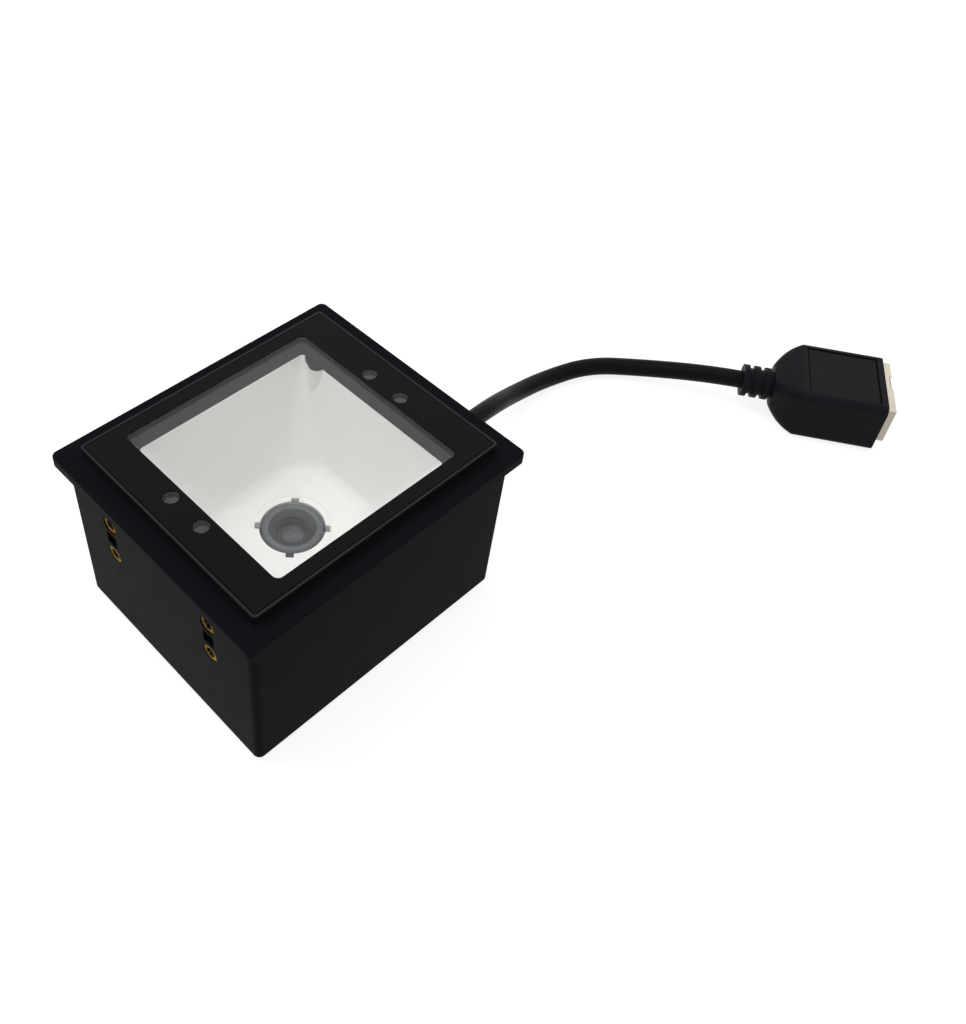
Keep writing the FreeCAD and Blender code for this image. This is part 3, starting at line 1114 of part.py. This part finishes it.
rounded(narrow, "dims.shoulder_wide * 0.8", "dims.shoulder_tall * 0.85",
        "(dims.socket_corner * 1.4)", "0", SOCKET_MIDDLE)
loft(shell, "shoulder", [wide_end, mid, narrow], ruled=False)
relief = sketch(shell, "relief_outline", "YZ_Plane", f"-{RELIEF_END}")
circle(relief, "dims.relief_r", "0", SOCKET_MIDDLE)
pad(shell, "relief", relief, "dims.relief_long + 1.0")
for k in range(3):
    rib = sketch(shell, f"rib_{k}_outline", "YZ_Plane", f"-{RELIEF_END} + {k} * dims.rib_pitch")
    circle(rib, "dims.rib_r", "0", SOCKET_MIDDLE)
    pad(shell, f"rib_{k}", rib, "dims.rib_thick")
drawing = sketch(shell, "label_outline", level="dims.socket_tall", x="-dims.socket_long / 2 - 0.4")
centred(drawing, "dims.label_long", "dims.label_wide")
pocket(shell, "label_recess", drawing, "dims.label_deep")
drawing = sketch(shell, "grips_outline", level="0")
for k in range(5):
    centred(drawing, "dims.grip_wide", "dims.socket_wide * 0.72",
            f"-dims.socket_long / 2 + {k - 2} * dims.grip_pitch", "0")
pad(shell, "grips", drawing, "dims.grip_deep + 0.5")
drawing = sketch(shell, "shield_bore_outline", "YZ_Plane", "0")
SHIELD_MIDDLE = "(dims.socket_tall - dims.shield_cover - dims.shield_tall / 2)"
centred(drawing, "dims.shield_wide", "dims.shield_tall", "0", SHIELD_MIDDLE)
pocket(shell, "shield_bore", drawing, "dims.shield_deep")
place_by_socket(shell)

# Shield, plug cavity and contacts, about the middle of the shield
SHIELD_INSIDE = "(dims.shield_wide - 2 * dims.shield_wall)"
SHIELD_INSIDE_TALL = "(dims.shield_tall - 2 * dims.shield_wall)"
shield = body("socket_shield")
drawing = sketch(shield, "outline", "YZ_Plane", "-dims.shield_deep")
centred(drawing, "dims.shield_wide", "dims.shield_tall", "0", SHIELD_MIDDLE)
centred(drawing, SHIELD_INSIDE, SHIELD_INSIDE_TALL, "0", SHIELD_MIDDLE)
pad(shield, "sheet", drawing, "dims.shield_deep + dims.shield_out")
drawing = sketch(shield, "notch_outline", level="dims.socket_tall")
centred(drawing, "2 * dims.shield_notch_deep", "dims.shield_notch_wide", "dims.shield_out",
        "dims.shield_notch_y")
pocket(shield, "notch", drawing, "dims.shield_cover + 2 * dims.shield_wall")
place_by_socket(shield)
JACK_LOW = f"({SHIELD_MIDDLE} - {SHIELD_INSIDE_TALL} / 2)"
CAVITY_LOW = f"({JACK_LOW} + dims.jack_sill)"
JACK_FRONT = "(dims.shield_out - dims.jack_sink)"
jack = body("jack_insert")
drawing = sketch(jack, "outline", "YZ_Plane", "-dims.shield_deep")
centred(drawing, SHIELD_INSIDE, SHIELD_INSIDE_TALL, "0", SHIELD_MIDDLE)
pad(jack, "block", drawing, f"dims.shield_deep + {JACK_FRONT}")
drawing = sketch(jack, "cavity_outline", "YZ_Plane", JACK_FRONT)
half = "dims.jack_wide / 2"
polygon(drawing, [(f"-{half}", CAVITY_LOW),
                  ("-dims.latch_wide / 2", CAVITY_LOW),
                  ("-dims.latch_wide / 2", f"{CAVITY_LOW} - dims.latch_deep"),
                  ("dims.latch_wide / 2", f"{CAVITY_LOW} - dims.latch_deep"),
                  ("dims.latch_wide / 2", CAVITY_LOW), (half, CAVITY_LOW),
                  (half, f"{CAVITY_LOW} + dims.jack_tall"),
                  (f"-{half}", f"{CAVITY_LOW} + dims.jack_tall")])
pocket(jack, "cavity", drawing, "dims.jack_deep")
place_by_socket(jack)
contacts = body("jack_contacts", several=True)
CAVITY_TOP = f"({CAVITY_LOW} + dims.jack_tall)"
CAVITY_BACK = f"({JACK_FRONT} - dims.jack_deep)"
for k in range(8):
    y = f"{k - 3.5} * dims.contact_pitch"
    drawing = sketch(contacts, f"contact_{k}_outline", "XZ_Plane",
                     f"-({y}) - dims.contact_size / 2")
    polygon(drawing, [(CAVITY_BACK, f"{CAVITY_TOP} - dims.contact_size * 5.5"),
                      (f"{JACK_FRONT} - 2.6", f"{CAVITY_TOP} - dims.contact_size"),
                      (f"{JACK_FRONT} - 2.0", f"{CAVITY_TOP} - dims.contact_size"),
                      (f"{JACK_FRONT} - 2.0", CAVITY_TOP),
                      (f"{JACK_FRONT} - 2.7", CAVITY_TOP),
                      (CAVITY_BACK, f"{CAVITY_TOP} - dims.contact_size * 4.4")])
    pad(contacts, f"contact_{k}", drawing, "dims.contact_size")
place_by_socket(contacts)


settle()
os.makedirs("parts", exist_ok=True)
for name, owner in bodies.items():
    shape = owner.Shape
    if shape.isNull() or not shape.isValid():
        raise RuntimeError(f"{name} is not a valid shape")
    shape.exportStep(f"parts/{name}.step")
    print(name, len(shape.Solids), round(shape.Volume, 1))
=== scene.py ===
import math

import bmesh
import bpy
import numpy as np
from mathutils import Matrix, Vector


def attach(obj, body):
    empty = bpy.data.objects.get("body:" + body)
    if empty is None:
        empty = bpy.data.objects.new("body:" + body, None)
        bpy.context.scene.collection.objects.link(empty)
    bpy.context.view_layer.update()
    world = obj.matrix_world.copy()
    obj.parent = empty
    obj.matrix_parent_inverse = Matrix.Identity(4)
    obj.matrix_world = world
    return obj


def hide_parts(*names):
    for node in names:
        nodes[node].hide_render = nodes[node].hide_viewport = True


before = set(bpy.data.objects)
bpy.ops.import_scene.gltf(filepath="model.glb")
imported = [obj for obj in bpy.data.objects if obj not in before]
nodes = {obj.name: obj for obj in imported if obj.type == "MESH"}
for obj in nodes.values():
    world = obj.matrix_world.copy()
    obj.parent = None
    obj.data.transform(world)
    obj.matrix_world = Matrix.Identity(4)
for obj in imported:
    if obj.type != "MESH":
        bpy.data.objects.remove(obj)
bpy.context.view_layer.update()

mm = 0.001


# Camera, fitted to the edges of the housing in the photograph. Right and down are the
# picture's own directions, and forward is the line of sight.
camera = {
    "place": (-0.10822, -0.13020, 0.23244),
    "right": (0.72388, -0.68857, 0.04319),
    "down": (-0.46321, -0.53145, -0.70922),
    "forward": (0.51131, 0.49339, -0.70366),
    "sensor": 36,
    "lens": 40.336,
    "shift": (0.1006, -0.1094),
    "clip": (0.005, 20),
}


def placeCamera(spec):
    data = bpy.data.cameras.new("photoCamera")
    data.sensor_width = spec["sensor"]
    data.lens = spec["lens"]
    data.shift_x, data.shift_y = spec["shift"]
    data.clip_start, data.clip_end = spec["clip"]
    item = bpy.data.objects.new("photoCamera", data)
    bpy.context.scene.collection.objects.link(item)
    axes = Matrix((spec["right"], [-d for d in spec["down"]], [-f for f in spec["forward"]]))
    item.matrix_world = Matrix.Translation(spec["place"]) @ axes.transposed().to_4x4()
    bpy.context.scene.camera = item


placeCamera(camera)
print("camera placed")


# Colours and nodes

# sRGB hex to linear: value / 12.92 up to 0.04045, else ((value + 0.055) / 1.055) to the 2.4
def hexColour(text):
    parts = [int(text[k:k + 2], 16) / 255 for k in (0, 2, 4)]
    return tuple(p / 12.92 if p <= 0.04045 else ((p + 0.055) / 1.055) ** 2.4 for p in parts) + (1.0,)


# Adds one node. Settings are its attributes or sockets, links are its sockets fed by others.
def addNode(tree, kind, settings=None, links=None):
    node = tree.nodes.new(kind)
    for key, value in (settings or {}).items():
        if isinstance(key, int) or key in node.inputs:
            node.inputs[key].default_value = value
        else:
            setattr(node, key, value)
    for key, source in (links or {}).items():
        tree.links.new(source, node.inputs[key])
    return node


def newMaterial(name):
    material = bpy.data.materials.new(name)
    material.use_nodes = True
    tree = material.node_tree
    tree.nodes.clear()
    output = addNode(tree, "ShaderNodeOutputMaterial")
    place = addNode(tree, "ShaderNodeTexCoord")
    return material, tree, output, place.outputs["Object"]


paintedGapShade = (0.001, 0.001, 0.001, 1)  # painted shade, near black, where a seam's shade falls
roughSpan = 0.05  # how far the roughness wanders to either side


# A solid finish: two close shades in broad soft patches, roughness that wanders a little
# about its value, and a fine grain. Patch and grain are real sizes in millimetres. A small
# spread parts the two shades sharply. Painted seam shade blackens what lies above it, from
# one height to the other. Shade = colour * (1 - variation) to colour * (1 + variation).
def surface(name, colour, variation, roughness, grain, bump, shader=None, patch=14, spread=0.5, paintedSeamShade=None):
    material, tree, output, place = newMaterial(name)
    patches = addNode(tree, "ShaderNodeTexNoise", {"Scale": 1 / (patch * mm), "Detail": 3.0},
                      {"Vector": place})
    parted = addNode(tree, "ShaderNodeMapRange", {"From Min": 0.5 - spread, "From Max": 0.5 + spread},
                     {"Value": patches.outputs["Fac"]})
    shades = addNode(tree, "ShaderNodeMix", {"data_type": "RGBA"}, {0: parted.outputs["Result"]})
    base = hexColour(colour)
    shades.inputs[6].default_value = tuple(c * (1 - variation) for c in base[:3]) + (1.0,)
    shades.inputs[7].default_value = tuple(min(1.0, c * (1 + variation)) for c in base[:3]) + (1.0,)
    tone = shades.outputs[2]
    if paintedSeamShade:
        height = addNode(tree, "ShaderNodeSeparateXYZ", {}, {"Vector": place})
        seamShadeRamp = addNode(tree, "ShaderNodeMapRange", {"From Min": paintedSeamShade[0] * mm, "From Max": paintedSeamShade[1] * mm},
                      {"Value": height.outputs["Z"]})
        shaded = addNode(tree, "ShaderNodeMix", {"data_type": "RGBA", 7: paintedGapShade},
                         {0: seamShadeRamp.outputs["Result"], 6: tone})
        tone = shaded.outputs[2]
    wander = addNode(tree, "ShaderNodeTexNoise", {"Scale": 1 / (6 * mm), "Detail": 4.0}, {"Vector": place})
    rough = addNode(tree, "ShaderNodeMapRange",
                    {"To Min": roughness - roughSpan, "To Max": roughness + roughSpan},
                    {"Value": wander.outputs["Fac"]})
    pits = addNode(tree, "ShaderNodeTexNoise", {"Scale": 1 / (grain * mm), "Detail": 2.0, "Roughness": 0.6},
                   {"Vector": place})
    relief = addNode(tree, "ShaderNodeBump", {"Strength": bump, "Distance": grain * mm * 0.5},
                     {"Height": pits.outputs["Fac"]})
    body = addNode(tree, "ShaderNodeBsdfPrincipled", shader or {},
                   {"Base Color": tone, "Roughness": rough.outputs["Result"],
                    "Normal": relief.outputs["Normal"]})
    tree.links.new(body.outputs["BSDF"], output.inputs["Surface"])
    return material


# Optical plate: sharp reflections over a clear body. Shadow rays go straight through it,
# so that what lies behind stays lit.
def clearGlass(name, tint, roughness, ior):
    material, tree, output, place = newMaterial(name)
    haze = addNode(tree, "ShaderNodeTexNoise", {"Scale": 1 / (8 * mm), "Detail": 3.0}, {"Vector": place})
    rough = addNode(tree, "ShaderNodeMapRange", {"To Min": roughness, "To Max": roughness + 0.015},
                    {"Value": haze.outputs["Fac"]})
    body = addNode(tree, "ShaderNodeBsdfPrincipled",
                   {"Base Color": hexColour(tint), "IOR": ior, "Transmission Weight": 1.0},
                   {"Roughness": rough.outputs["Result"]})
    clear = addNode(tree, "ShaderNodeBsdfTransparent", {"Color": hexColour(tint)})
    light = addNode(tree, "ShaderNodeLightPath")
    mixed = addNode(tree, "ShaderNodeMixShader", {},
                    {0: light.outputs["Is Shadow Ray"], 1: body.outputs["BSDF"], 2: clear.outputs["BSDF"]})
    tree.links.new(mixed.outputs["Shader"], output.inputs["Surface"])
    return material


# Anodised ring: pale outside the mouth radius and dark inside it, with the turned grooves
# of the cone at a pitch, both in millimetres. Radius = length of (x, y).
def turnedHood(name, face, cone, mouth, pitch):
    material, tree, output, place = newMaterial(name)
    across = addNode(tree, "ShaderNodeVectorMath", {"operation": "MULTIPLY", 1: (1, 1, 0)}, {0: place})
    radius = addNode(tree, "ShaderNodeVectorMath", {"operation": "LENGTH"}, {0: across.outputs["Vector"]})
    outside = addNode(tree, "ShaderNodeMapRange",
                      {"From Min": (mouth - 0.05) * mm, "From Max": (mouth + 0.05) * mm},
                      {"Value": radius.outputs["Value"]})
    shades = addNode(tree, "ShaderNodeMix", {"data_type": "RGBA", 6: hexColour(cone), 7: hexColour(face)},
                     {0: outside.outputs["Result"]})
    grooves = addNode(tree, "ShaderNodeTexWave",
                      {"wave_type": "RINGS", "rings_direction": "Z", "Scale": math.pi / 10 / (pitch * mm)},
                      {"Vector": place})
    relief = addNode(tree, "ShaderNodeBump", {"Strength": 0.35, "Distance": pitch * mm * 0.3},
                     {"Height": grooves.outputs["Fac"]})
    body = addNode(tree, "ShaderNodeBsdfPrincipled", {"Roughness": 0.42, "Metallic": 0.35},
                   {"Base Color": shades.outputs[2], "Normal": relief.outputs["Normal"]})
    tree.links.new(body.outputs["BSDF"], output.inputs["Surface"])
    return material


# Moulded ABS with a spark-eroded finish: dull, very dark, fine even grain
sparkErodedAbs = surface("sparkErodedAbs", "1a1b1f", 0.06, 0.46, 0.22, 0.12, {"Specular IOR Level": 0.008})
# Painted highlight for edges: a thin paler line along each edge of the black housing, with a slightly stronger
# sheen
paintedEdgeHighlight = surface("paintedEdgeHighlight", "252629", 0.1, 0.34, 0.4, 0.04, {"Specular IOR Level": 0.15})
# The same plastic inside the window, a slightly paler dark grey as painted light; also painted shade in the
# cup's relief
paintedThroatLightAndShade = surface("paintedThroatLightAndShade", "202023", 0.08, 0.4, 0.4, 0.02, {"Specular IOR Level": 0.02})
# The cover is moulded apart: slightly paler. Its upper part is painted black above a height, as painted seam
# shade
coverAbs = surface("coverAbs", "2e2f34", 0.08, 0.4, 0.22, 0.1, {"Specular IOR Level": 0.05},
                   paintedSeamShade=(0.75, 1.1))
# The same plastic off a polished tool: a clearer sheen
polishedAbs = surface("polishedAbs", "131417", 0.10, 0.34, 0.5, 0.05, {"Specular IOR Level": 0.08})
# Screen-printed ink on glass: flat, near black, with a soft sheen
screenPrintInk = surface("screenPrintInk", "0e0f13", 0.06, 0.36, 0.3, 0.04, {"Specular IOR Level": 0.07})
# Float glass with a thin coating: clear, with only a faint mirror
coatedGlass = clearGlass("coatedGlass", "fdfdfc", 0.0, 1.42)
# Acrylic foam tape, die cut: a dull dark edge under the glass
foamTape = surface("foamTape", "1c1c1d", 0.15, 0.8, 0.25, 0.4)
# White polycarbonate, diffusing grade: soft white, faint sheen
diffusingPolycarbonate = surface("diffusingPolycarbonate", "f0efed", 0.01, 0.5, 0.6, 0.04,
                                 {"Specular IOR Level": 0.3})
# Black anodised aluminium, turned: dark, with a dull metal glow
blackAnodised = surface("blackAnodised", "1d1e21", 0.1, 0.38, 0.12, 0.1, {"Metallic": 0.3})
# Grey anodised aluminium, turned: a blue-grey face round a dark cone
greyAnodised = turnedHood("greyAnodised", "565c63", "232428", 5.65, 0.35)
# Ground and coated lens glass: a faint blue cast
lensGlass = clearGlass("lensGlass", "c9d4e6", 0.0, 1.52)
# Filter glass: a faint green cast
filterGlass = clearGlass("filterGlass", "b9dcd9", 0.0, 1.5)
# Glass-fibre board under solder mask: even green with a soft sheen
solderMask = surface("solderMask", "1d4a33", 0.12, 0.35, 0.8, 0.08)
# Transfer-moulded epoxy: charcoal, finely rough
epoxyPackage = surface("epoxyPackage", "26272a", 0.1, 0.6, 0.1, 0.3)
# Fired ceramic: tan, half dull
ceramicBody = surface("ceramicBody", "93765a", 0.1, 0.5, 0.1, 0.1)
# Cast silicone over a lamp chip: creamy and smooth
siliconeLamp = surface("siliconeLamp", "e9e4c4", 0.03, 0.3, 0.1, 0.05)
# Frosted smoke-grey acrylic: a dull grey disc in the black print
smokedAcrylic = surface("smokedAcrylic", "1c1d1f", 0.08, 0.3, 0.4, 0.02, {"Specular IOR Level": 0.05})
# Moulded natural nylon: off-white, slightly dull
nylonConnector = surface("nylonConnector", "dcd8c9", 0.04, 0.5, 0.3, 0.08)
# Gold flash on stamped contacts: bright yellow metal
goldFlash = surface("goldFlash", "d8b25c", 0.05, 0.25, 0.08, 0.05, {"Metallic": 1.0})
# Zinc-plated steel screws: cool grey metal
zincPlate = surface("zincPlate", "9a9b9c", 0.08, 0.35, 0.1, 0.15, {"Metallic": 1.0})
# Turned brass, handled: warm metal, brown in patches of about a millimetre
turnedBrass = surface("turnedBrass", "6c5638", 0.85, 0.32, 0.09, 0.3,
                      {"Metallic": 1.0, "Specular Tint": hexColour("e4cfa4")}, patch=0.7, spread=0.1)
# Polyimide film: amber brown with a clear sheen
polyimideFilm = surface("polyimideFilm", "a5661f", 0.08, 0.35, 0.4, 0.05)
# Insulated leads, extruded: plain grey, satin
pvcLead = surface("pvcLead", "5c5c5e", 0.1, 0.45, 0.3, 0.1)
# Soft black overmould: matt, a touch paler than the housing
softOvermould = surface("softOvermould", "1d1e22", 0.1, 0.48, 0.3, 0.2, {"Specular IOR Level": 0.05})
# Foot of a moulded step, where no light gets in
grooveShade = surface("grooveShade", "08080a", 0.05, 0.6, 0.3, 0.02, {"Specular IOR Level": 0.02})
# Extruded PVC jacket: satin, with a slight waviness along it
extrudedPvc = surface("extrudedPvc", "0d0e12", 0.1, 0.42, 0.5, 0.12, {"Specular IOR Level": 0.07})
# Nickel-plated steel sheet, rolled: warm pale metal, almost a mirror
nickelSheet = surface("nickelSheet", "a39d8f", 0.05, 0.26, 0.15, 0.08, {"Metallic": 1.0})
print("finishes made")

finishes = {
    "main_housing": sparkErodedAbs, "bottom_cover": coverAbs, "panel_print": screenPrintInk,
    "window_glass": coatedGlass, "window_tape": foamTape, "reflector": diffusingPolycarbonate,
    "lens_barrel": blackAnodised, "lens_ring": blackAnodised, "lens_holder": polishedAbs,
    "lens_hood": greyAnodised, "front_lens": lensGlass, "rear_lens": lensGlass,
    "infrared_filter": filterGlass, "main_board": solderMask, "camera_board": solderMask,
    "lamp_board": solderMask, "indicator_boards": solderMask, "decoder_chip": epoxyPackage,
    "memory_chip": epoxyPackage, "image_sensor": epoxyPackage, "power_inductor": epoxyPackage,
    "buzzer": epoxyPackage, "board_capacitors": ceramicBody, "board_resistors": ceramicBody,
    "lamps": siliconeLamp, "indicator_lamps": siliconeLamp, "light_guides": smokedAcrylic,
    "cable_header": nylonConnector, "cable_plug": nylonConnector, "lamp_header": nylonConnector,
    "board_header": nylonConnector, "board_socket": nylonConnector, "lamp_pins": goldFlash,
    "jack_contacts": goldFlash, "cover_screws": zincPlate, "reflector_screws": zincPlate,
    "camera_screws": zincPlate, "board_screws": zincPlate, "strip_screws": zincPlate,
    "lamp_screws": zincPlate, "threaded_inserts": turnedBrass, "indicator_ribbons": polyimideFilm,
    "lead_wires": pvcLead, "cable_gland": softOvermould, "cable": extrudedPvc,
    "socket_body": softOvermould, "socket_shield": nickelSheet, "jack_insert": polishedAbs,
}


def dress(item, material):
    item.data.materials.clear()
    item.data.materials.append(material)


for name, item in nodes.items():
    dress(item, finishes[name])


# Copies of CAD solids with softened edges. Each has its name, its slot, the width of its
# rounding in millimetres, and the painted-highlight finish for its edges or none.
rounding = {
    "weld": 0.002,
    "angle": 32,
    "segments": 2,
    "areaWeight": 50,
    "copies": {
        "main_housing": ("housingShell", "housing_plastic", 0.14, paintedEdgeHighlight),
        "bottom_cover": ("bottomPlate", "cover_plastic", 0.12, paintedEdgeHighlight),
        "reflector": ("reflectorCup", "reflector_white", 0.1, None),
        "lens_hood": ("hoodRing", "hood_grey", 0.07, paintedEdgeHighlight),
        "socket_body": ("socketOvermould", "socket_plastic", 0.1, None),
        "socket_shield": ("shieldSheet", "shield_nickel", 0.08, None),
        "threaded_inserts": ("brassInserts", "insert_brass", 0.12, None),
    },
}


# Welds a copy of the node's mesh, bevels the edges sharper than the angle, and shades the
# large faces flat.
def roundedCopy(spec, node):
    name, slotName, width, edgeFinish = spec["copies"][node]
    mesh = nodes[node].data.copy()
    mesh.name = name
    work = bmesh.new()
    work.from_mesh(mesh)
    bmesh.ops.remove_doubles(work, verts=work.verts, dist=spec["weld"] * mm)
    work.to_mesh(mesh)
    work.free()
    mesh.shade_smooth()
    item = bpy.data.objects.new(name, mesh)
    bpy.context.scene.collection.objects.link(item)
    edge = item.modifiers.new("edgeRound", "BEVEL")
    edge.width = width * mm
    edge.segments = spec["segments"]
    edge.limit_method = "ANGLE"
    edge.angle_limit = math.radians(spec["angle"])
    edge.use_clamp_overlap = True
    flat = item.modifiers.new("flatFaces", "WEIGHTED_NORMAL")
    flat.mode = "FACE_AREA"
    flat.weight = spec["areaWeight"]
    flat.keep_sharp = False
    dress(item, finishes[node])
    if edgeFinish:
        mesh.materials.append(edgeFinish)
        edge.material = 1
    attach(item, "root")
    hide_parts(node)
    return item


copies = {node: roundedCopy(rounding, node) for node in rounding["copies"]}

# Faces with a finish of their own: the node, the finish, the lowest and highest middle of
# a face, its reach from the axis, and whether it is upright or level. In millimetres.
paintedFaces = [
    ("main_housing", paintedThroatLightAndShade, 45, 60, 26.5, True),  # the wall of the window opening, painted paler as painted light
    ("main_housing", paintedEdgeHighlight, 50.2, 60, 40, False),  # painted highlight on the top of the raised frame
    ("reflector", paintedThroatLightAndShade, 45.9, 46.3, 26.5, False),  # painted shade: the white cup's relief for the housing's post, painted dark grey
]


# A face is chosen where low < z of its middle < high and the larger of |x|, |y| is below
# the reach. It is level where the z of its normal is above 0.9.
def paintFaces(item, material, low, high, reach, upright):
    mesh = item.data
    slotIndex = len(mesh.materials)
    mesh.materials.append(material)
    count = len(mesh.polygons)
    middles = np.empty(3 * count, np.float32)
    normals = np.empty(3 * count, np.float32)
    mesh.polygons.foreach_get("center", middles)
    mesh.polygons.foreach_get("normal", normals)
    middles, normals = middles.reshape(-1, 3), normals.reshape(-1, 3)
    chosen = (middles[:, 2] > low * mm) & (middles[:, 2] < high * mm)
    chosen &= np.abs(middles[:, :2]).max(axis=1) < reach * mm
    chosen &= (np.abs(normals[:, 2]) < 0.9) if upright else (normals[:, 2] > 0.9)
    before = np.empty(count, np.int32)
    mesh.polygons.foreach_get("material_index", before)
    mesh.polygons.foreach_set("material_index", np.where(chosen, slotIndex, before).astype(np.int32))
    print(item.name, "faces painted:", int(chosen.sum()))


for node, *choice in paintedFaces:
    paintFaces(copies[node], *choice)
print("rounded pieces made")


# Painted shade: a dark line round the socket's recessed plain panel, at the foot of its wall, on three
# sides, in millimetres. Along runs from the socket's front towards the cable, and half is across it.
paintedShadeLine = {
    "front": (160.4, -66.8, 16.11),
    "yaw": -56.0,
    "along": (-21.1, -1.7),
    "half": 9.4,
    "width": 0.4,
}


# Flat strips between an outer and an inner edge: corner = front + forward * along + left * across
def drawPaintedShadeLine(spec):
    yaw = math.radians(spec["yaw"])
    forward = np.array((math.cos(yaw), math.sin(yaw), 0))
    left = np.array((-math.sin(yaw), math.cos(yaw), 0))
    rear, front = spec["along"]
    half, width = spec["half"], spec["width"]
    outer = [(rear, -half), (rear, half), (front, half), (front, -half)]
    inner = [(rear + width, -half), (rear + width, half - width),
             (front - width, half - width), (front - width, -half)]
    corners = [np.array(spec["front"]) + forward * along + left * across for along, across in outer + inner]
    mesh = bpy.data.meshes.new("paintedShadeLine")
    mesh.from_pydata([tuple(c * mm) for c in corners], [], [(0, 4, 5, 1), (1, 5, 6, 2), (2, 6, 7, 3)])
    item = bpy.data.objects.new("paintedShadeLine", mesh)
    bpy.context.scene.collection.objects.link(item)
    item.data.materials.append(grooveShade)
    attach(item, "root")


drawPaintedShadeLine(paintedShadeLine)
print("panel line drawn")


# Cable in millimetres: the points of the route, which ends in the socket
cable = {
    "points": [(42.5, 0, 16), (57.5, 0, 16), (72, 2, 13), (86, 5.5, 6), (101, 5.6, 2.65),
               (115.3, 0.6, 3.05), (126, -10, 3.05), (133.84, -27.42, 8.2), (139.32, -35.55, 8.2)],
    "diameter": 5.1,
    "length": 120.2,
}


# One spline of order 3 over the points, with a round section
def layCable(spec):
    curve = bpy.data.curves.new("signalCable", "CURVE")
    curve.dimensions = "3D"
    line = curve.splines.new("NURBS")
    line.points.add(len(spec["points"]) - 1)
    flat = np.column_stack([np.array(spec["points"], float) * mm, np.ones(len(spec["points"]))])
    line.points.foreach_set("co", flat.ravel())
    line.order_u = 3
    line.use_endpoint_u = True
    line.resolution_u = 16
    curve.bevel_depth = spec["diameter"] / 2 * mm
    curve.bevel_resolution = 8
    curve.use_fill_caps = True
    item = bpy.data.objects.new("signalCable", curve)
    bpy.context.scene.collection.objects.link(item)
    item.data.materials.append(finishes["cable"])
    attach(item, "root")
    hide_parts("cable")


layCable(cable)
print("cable laid")


# Floor, lamps and world. Each lamp has its name, place, aim, size and power.
studio = {
    "floorSize": 6.0,
    "floorColour": "dcdcdc",
    "floorGlow": 0.35,
    "glowStrength": 2.4,
    "worldStrength": 0.37,
    "worldSeen": 0.66,
    "lamps": [
        ("keyPanel", (-0.22, 0.42, 0.85), (0.02, 0.0, 0.03), 0.5, 1.5),
        ("sidePanel", (0.85, 0.15, 0.6), (0.15, -0.06, 0.015), 0.4, 0.5),
        ("topPanel", (-0.05, 0.0, 1.0), (0.0, 0.0, 0.05), 0.5, 0.9),
    ],
}


# 1 for camera, glossy and transmission rays, and 0 for those that only light
def seenRays(tree):
    path = addNode(tree, "ShaderNodeLightPath")
    seen = addNode(tree, "ShaderNodeMath", {"operation": "MAXIMUM"},
                   {0: path.outputs["Is Camera Ray"], 1: path.outputs["Is Glossy Ray"]})
    seenToo = addNode(tree, "ShaderNodeMath", {"operation": "MAXIMUM"},
                      {0: seen.outputs["Value"], 1: path.outputs["Is Transmission Ray"]})
    return seenToo.outputs["Value"]


# Paper that glows a little for the rays that see it, so that it is white and keeps the shadow
def makeFloor(spec):
    half = spec["floorSize"] / 2
    mesh = bpy.data.meshes.new("paleFloor")
    mesh.from_pydata([(-half, -half, 0), (half, -half, 0), (half, half, 0), (-half, half, 0)], [],
                     [(0, 1, 2, 3)])
    item = bpy.data.objects.new("paleFloor", mesh)
    bpy.context.scene.collection.objects.link(item)
    material, tree, output, place = newMaterial("paperSweep")
    paper = addNode(tree, "ShaderNodeBsdfDiffuse", {"Color": hexColour(spec["floorColour"])})
    glow = addNode(tree, "ShaderNodeEmission", {"Color": (1, 1, 1, 1), "Strength": spec["glowStrength"]})
    share = addNode(tree, "ShaderNodeMath", {"operation": "MULTIPLY", 1: spec["floorGlow"]},
                    {0: seenRays(tree)})
    mixed = addNode(tree, "ShaderNodeMixShader", {},
                    {0: share.outputs["Value"], 1: paper.outputs["BSDF"], 2: glow.outputs["Emission"]})
    tree.links.new(mixed.outputs["Shader"], output.inputs["Surface"])
    item.data.materials.append(material)


# World strength = worldStrength + worldSeen * seen, near 1 (white) for the rays that see it
def makeLights(spec):
    for name, place, aim, size, power in spec["lamps"]:
        data = bpy.data.lights.new(name, "AREA")
        data.shape = "SQUARE"
        data.size = size
        data.energy = power
        item = bpy.data.objects.new(name, data)
        bpy.context.scene.collection.objects.link(item)
        item.location = place
        item.rotation_euler = (Vector(aim) - Vector(place)).to_track_quat("-Z", "Y").to_euler()
    world = bpy.data.worlds.new("softRoom")
    bpy.context.scene.world = world
    world.use_nodes = True
    tree = world.node_tree
    tree.nodes.clear()
    output = addNode(tree, "ShaderNodeOutputWorld")
    strength = addNode(tree, "ShaderNodeMath",
                       {"operation": "MULTIPLY_ADD", 1: spec["worldSeen"], 2: spec["worldStrength"]},
                       {0: seenRays(tree)})
    sky = addNode(tree, "ShaderNodeBackground", {"Color": (1, 1, 1, 1)}, {"Strength": strength.outputs["Value"]})
    tree.links.new(sky.outputs["Background"], output.inputs["Surface"])


makeFloor(studio)
makeLights(studio)
bpy.context.scene.view_settings.view_transform = "Standard"
print("studio set")
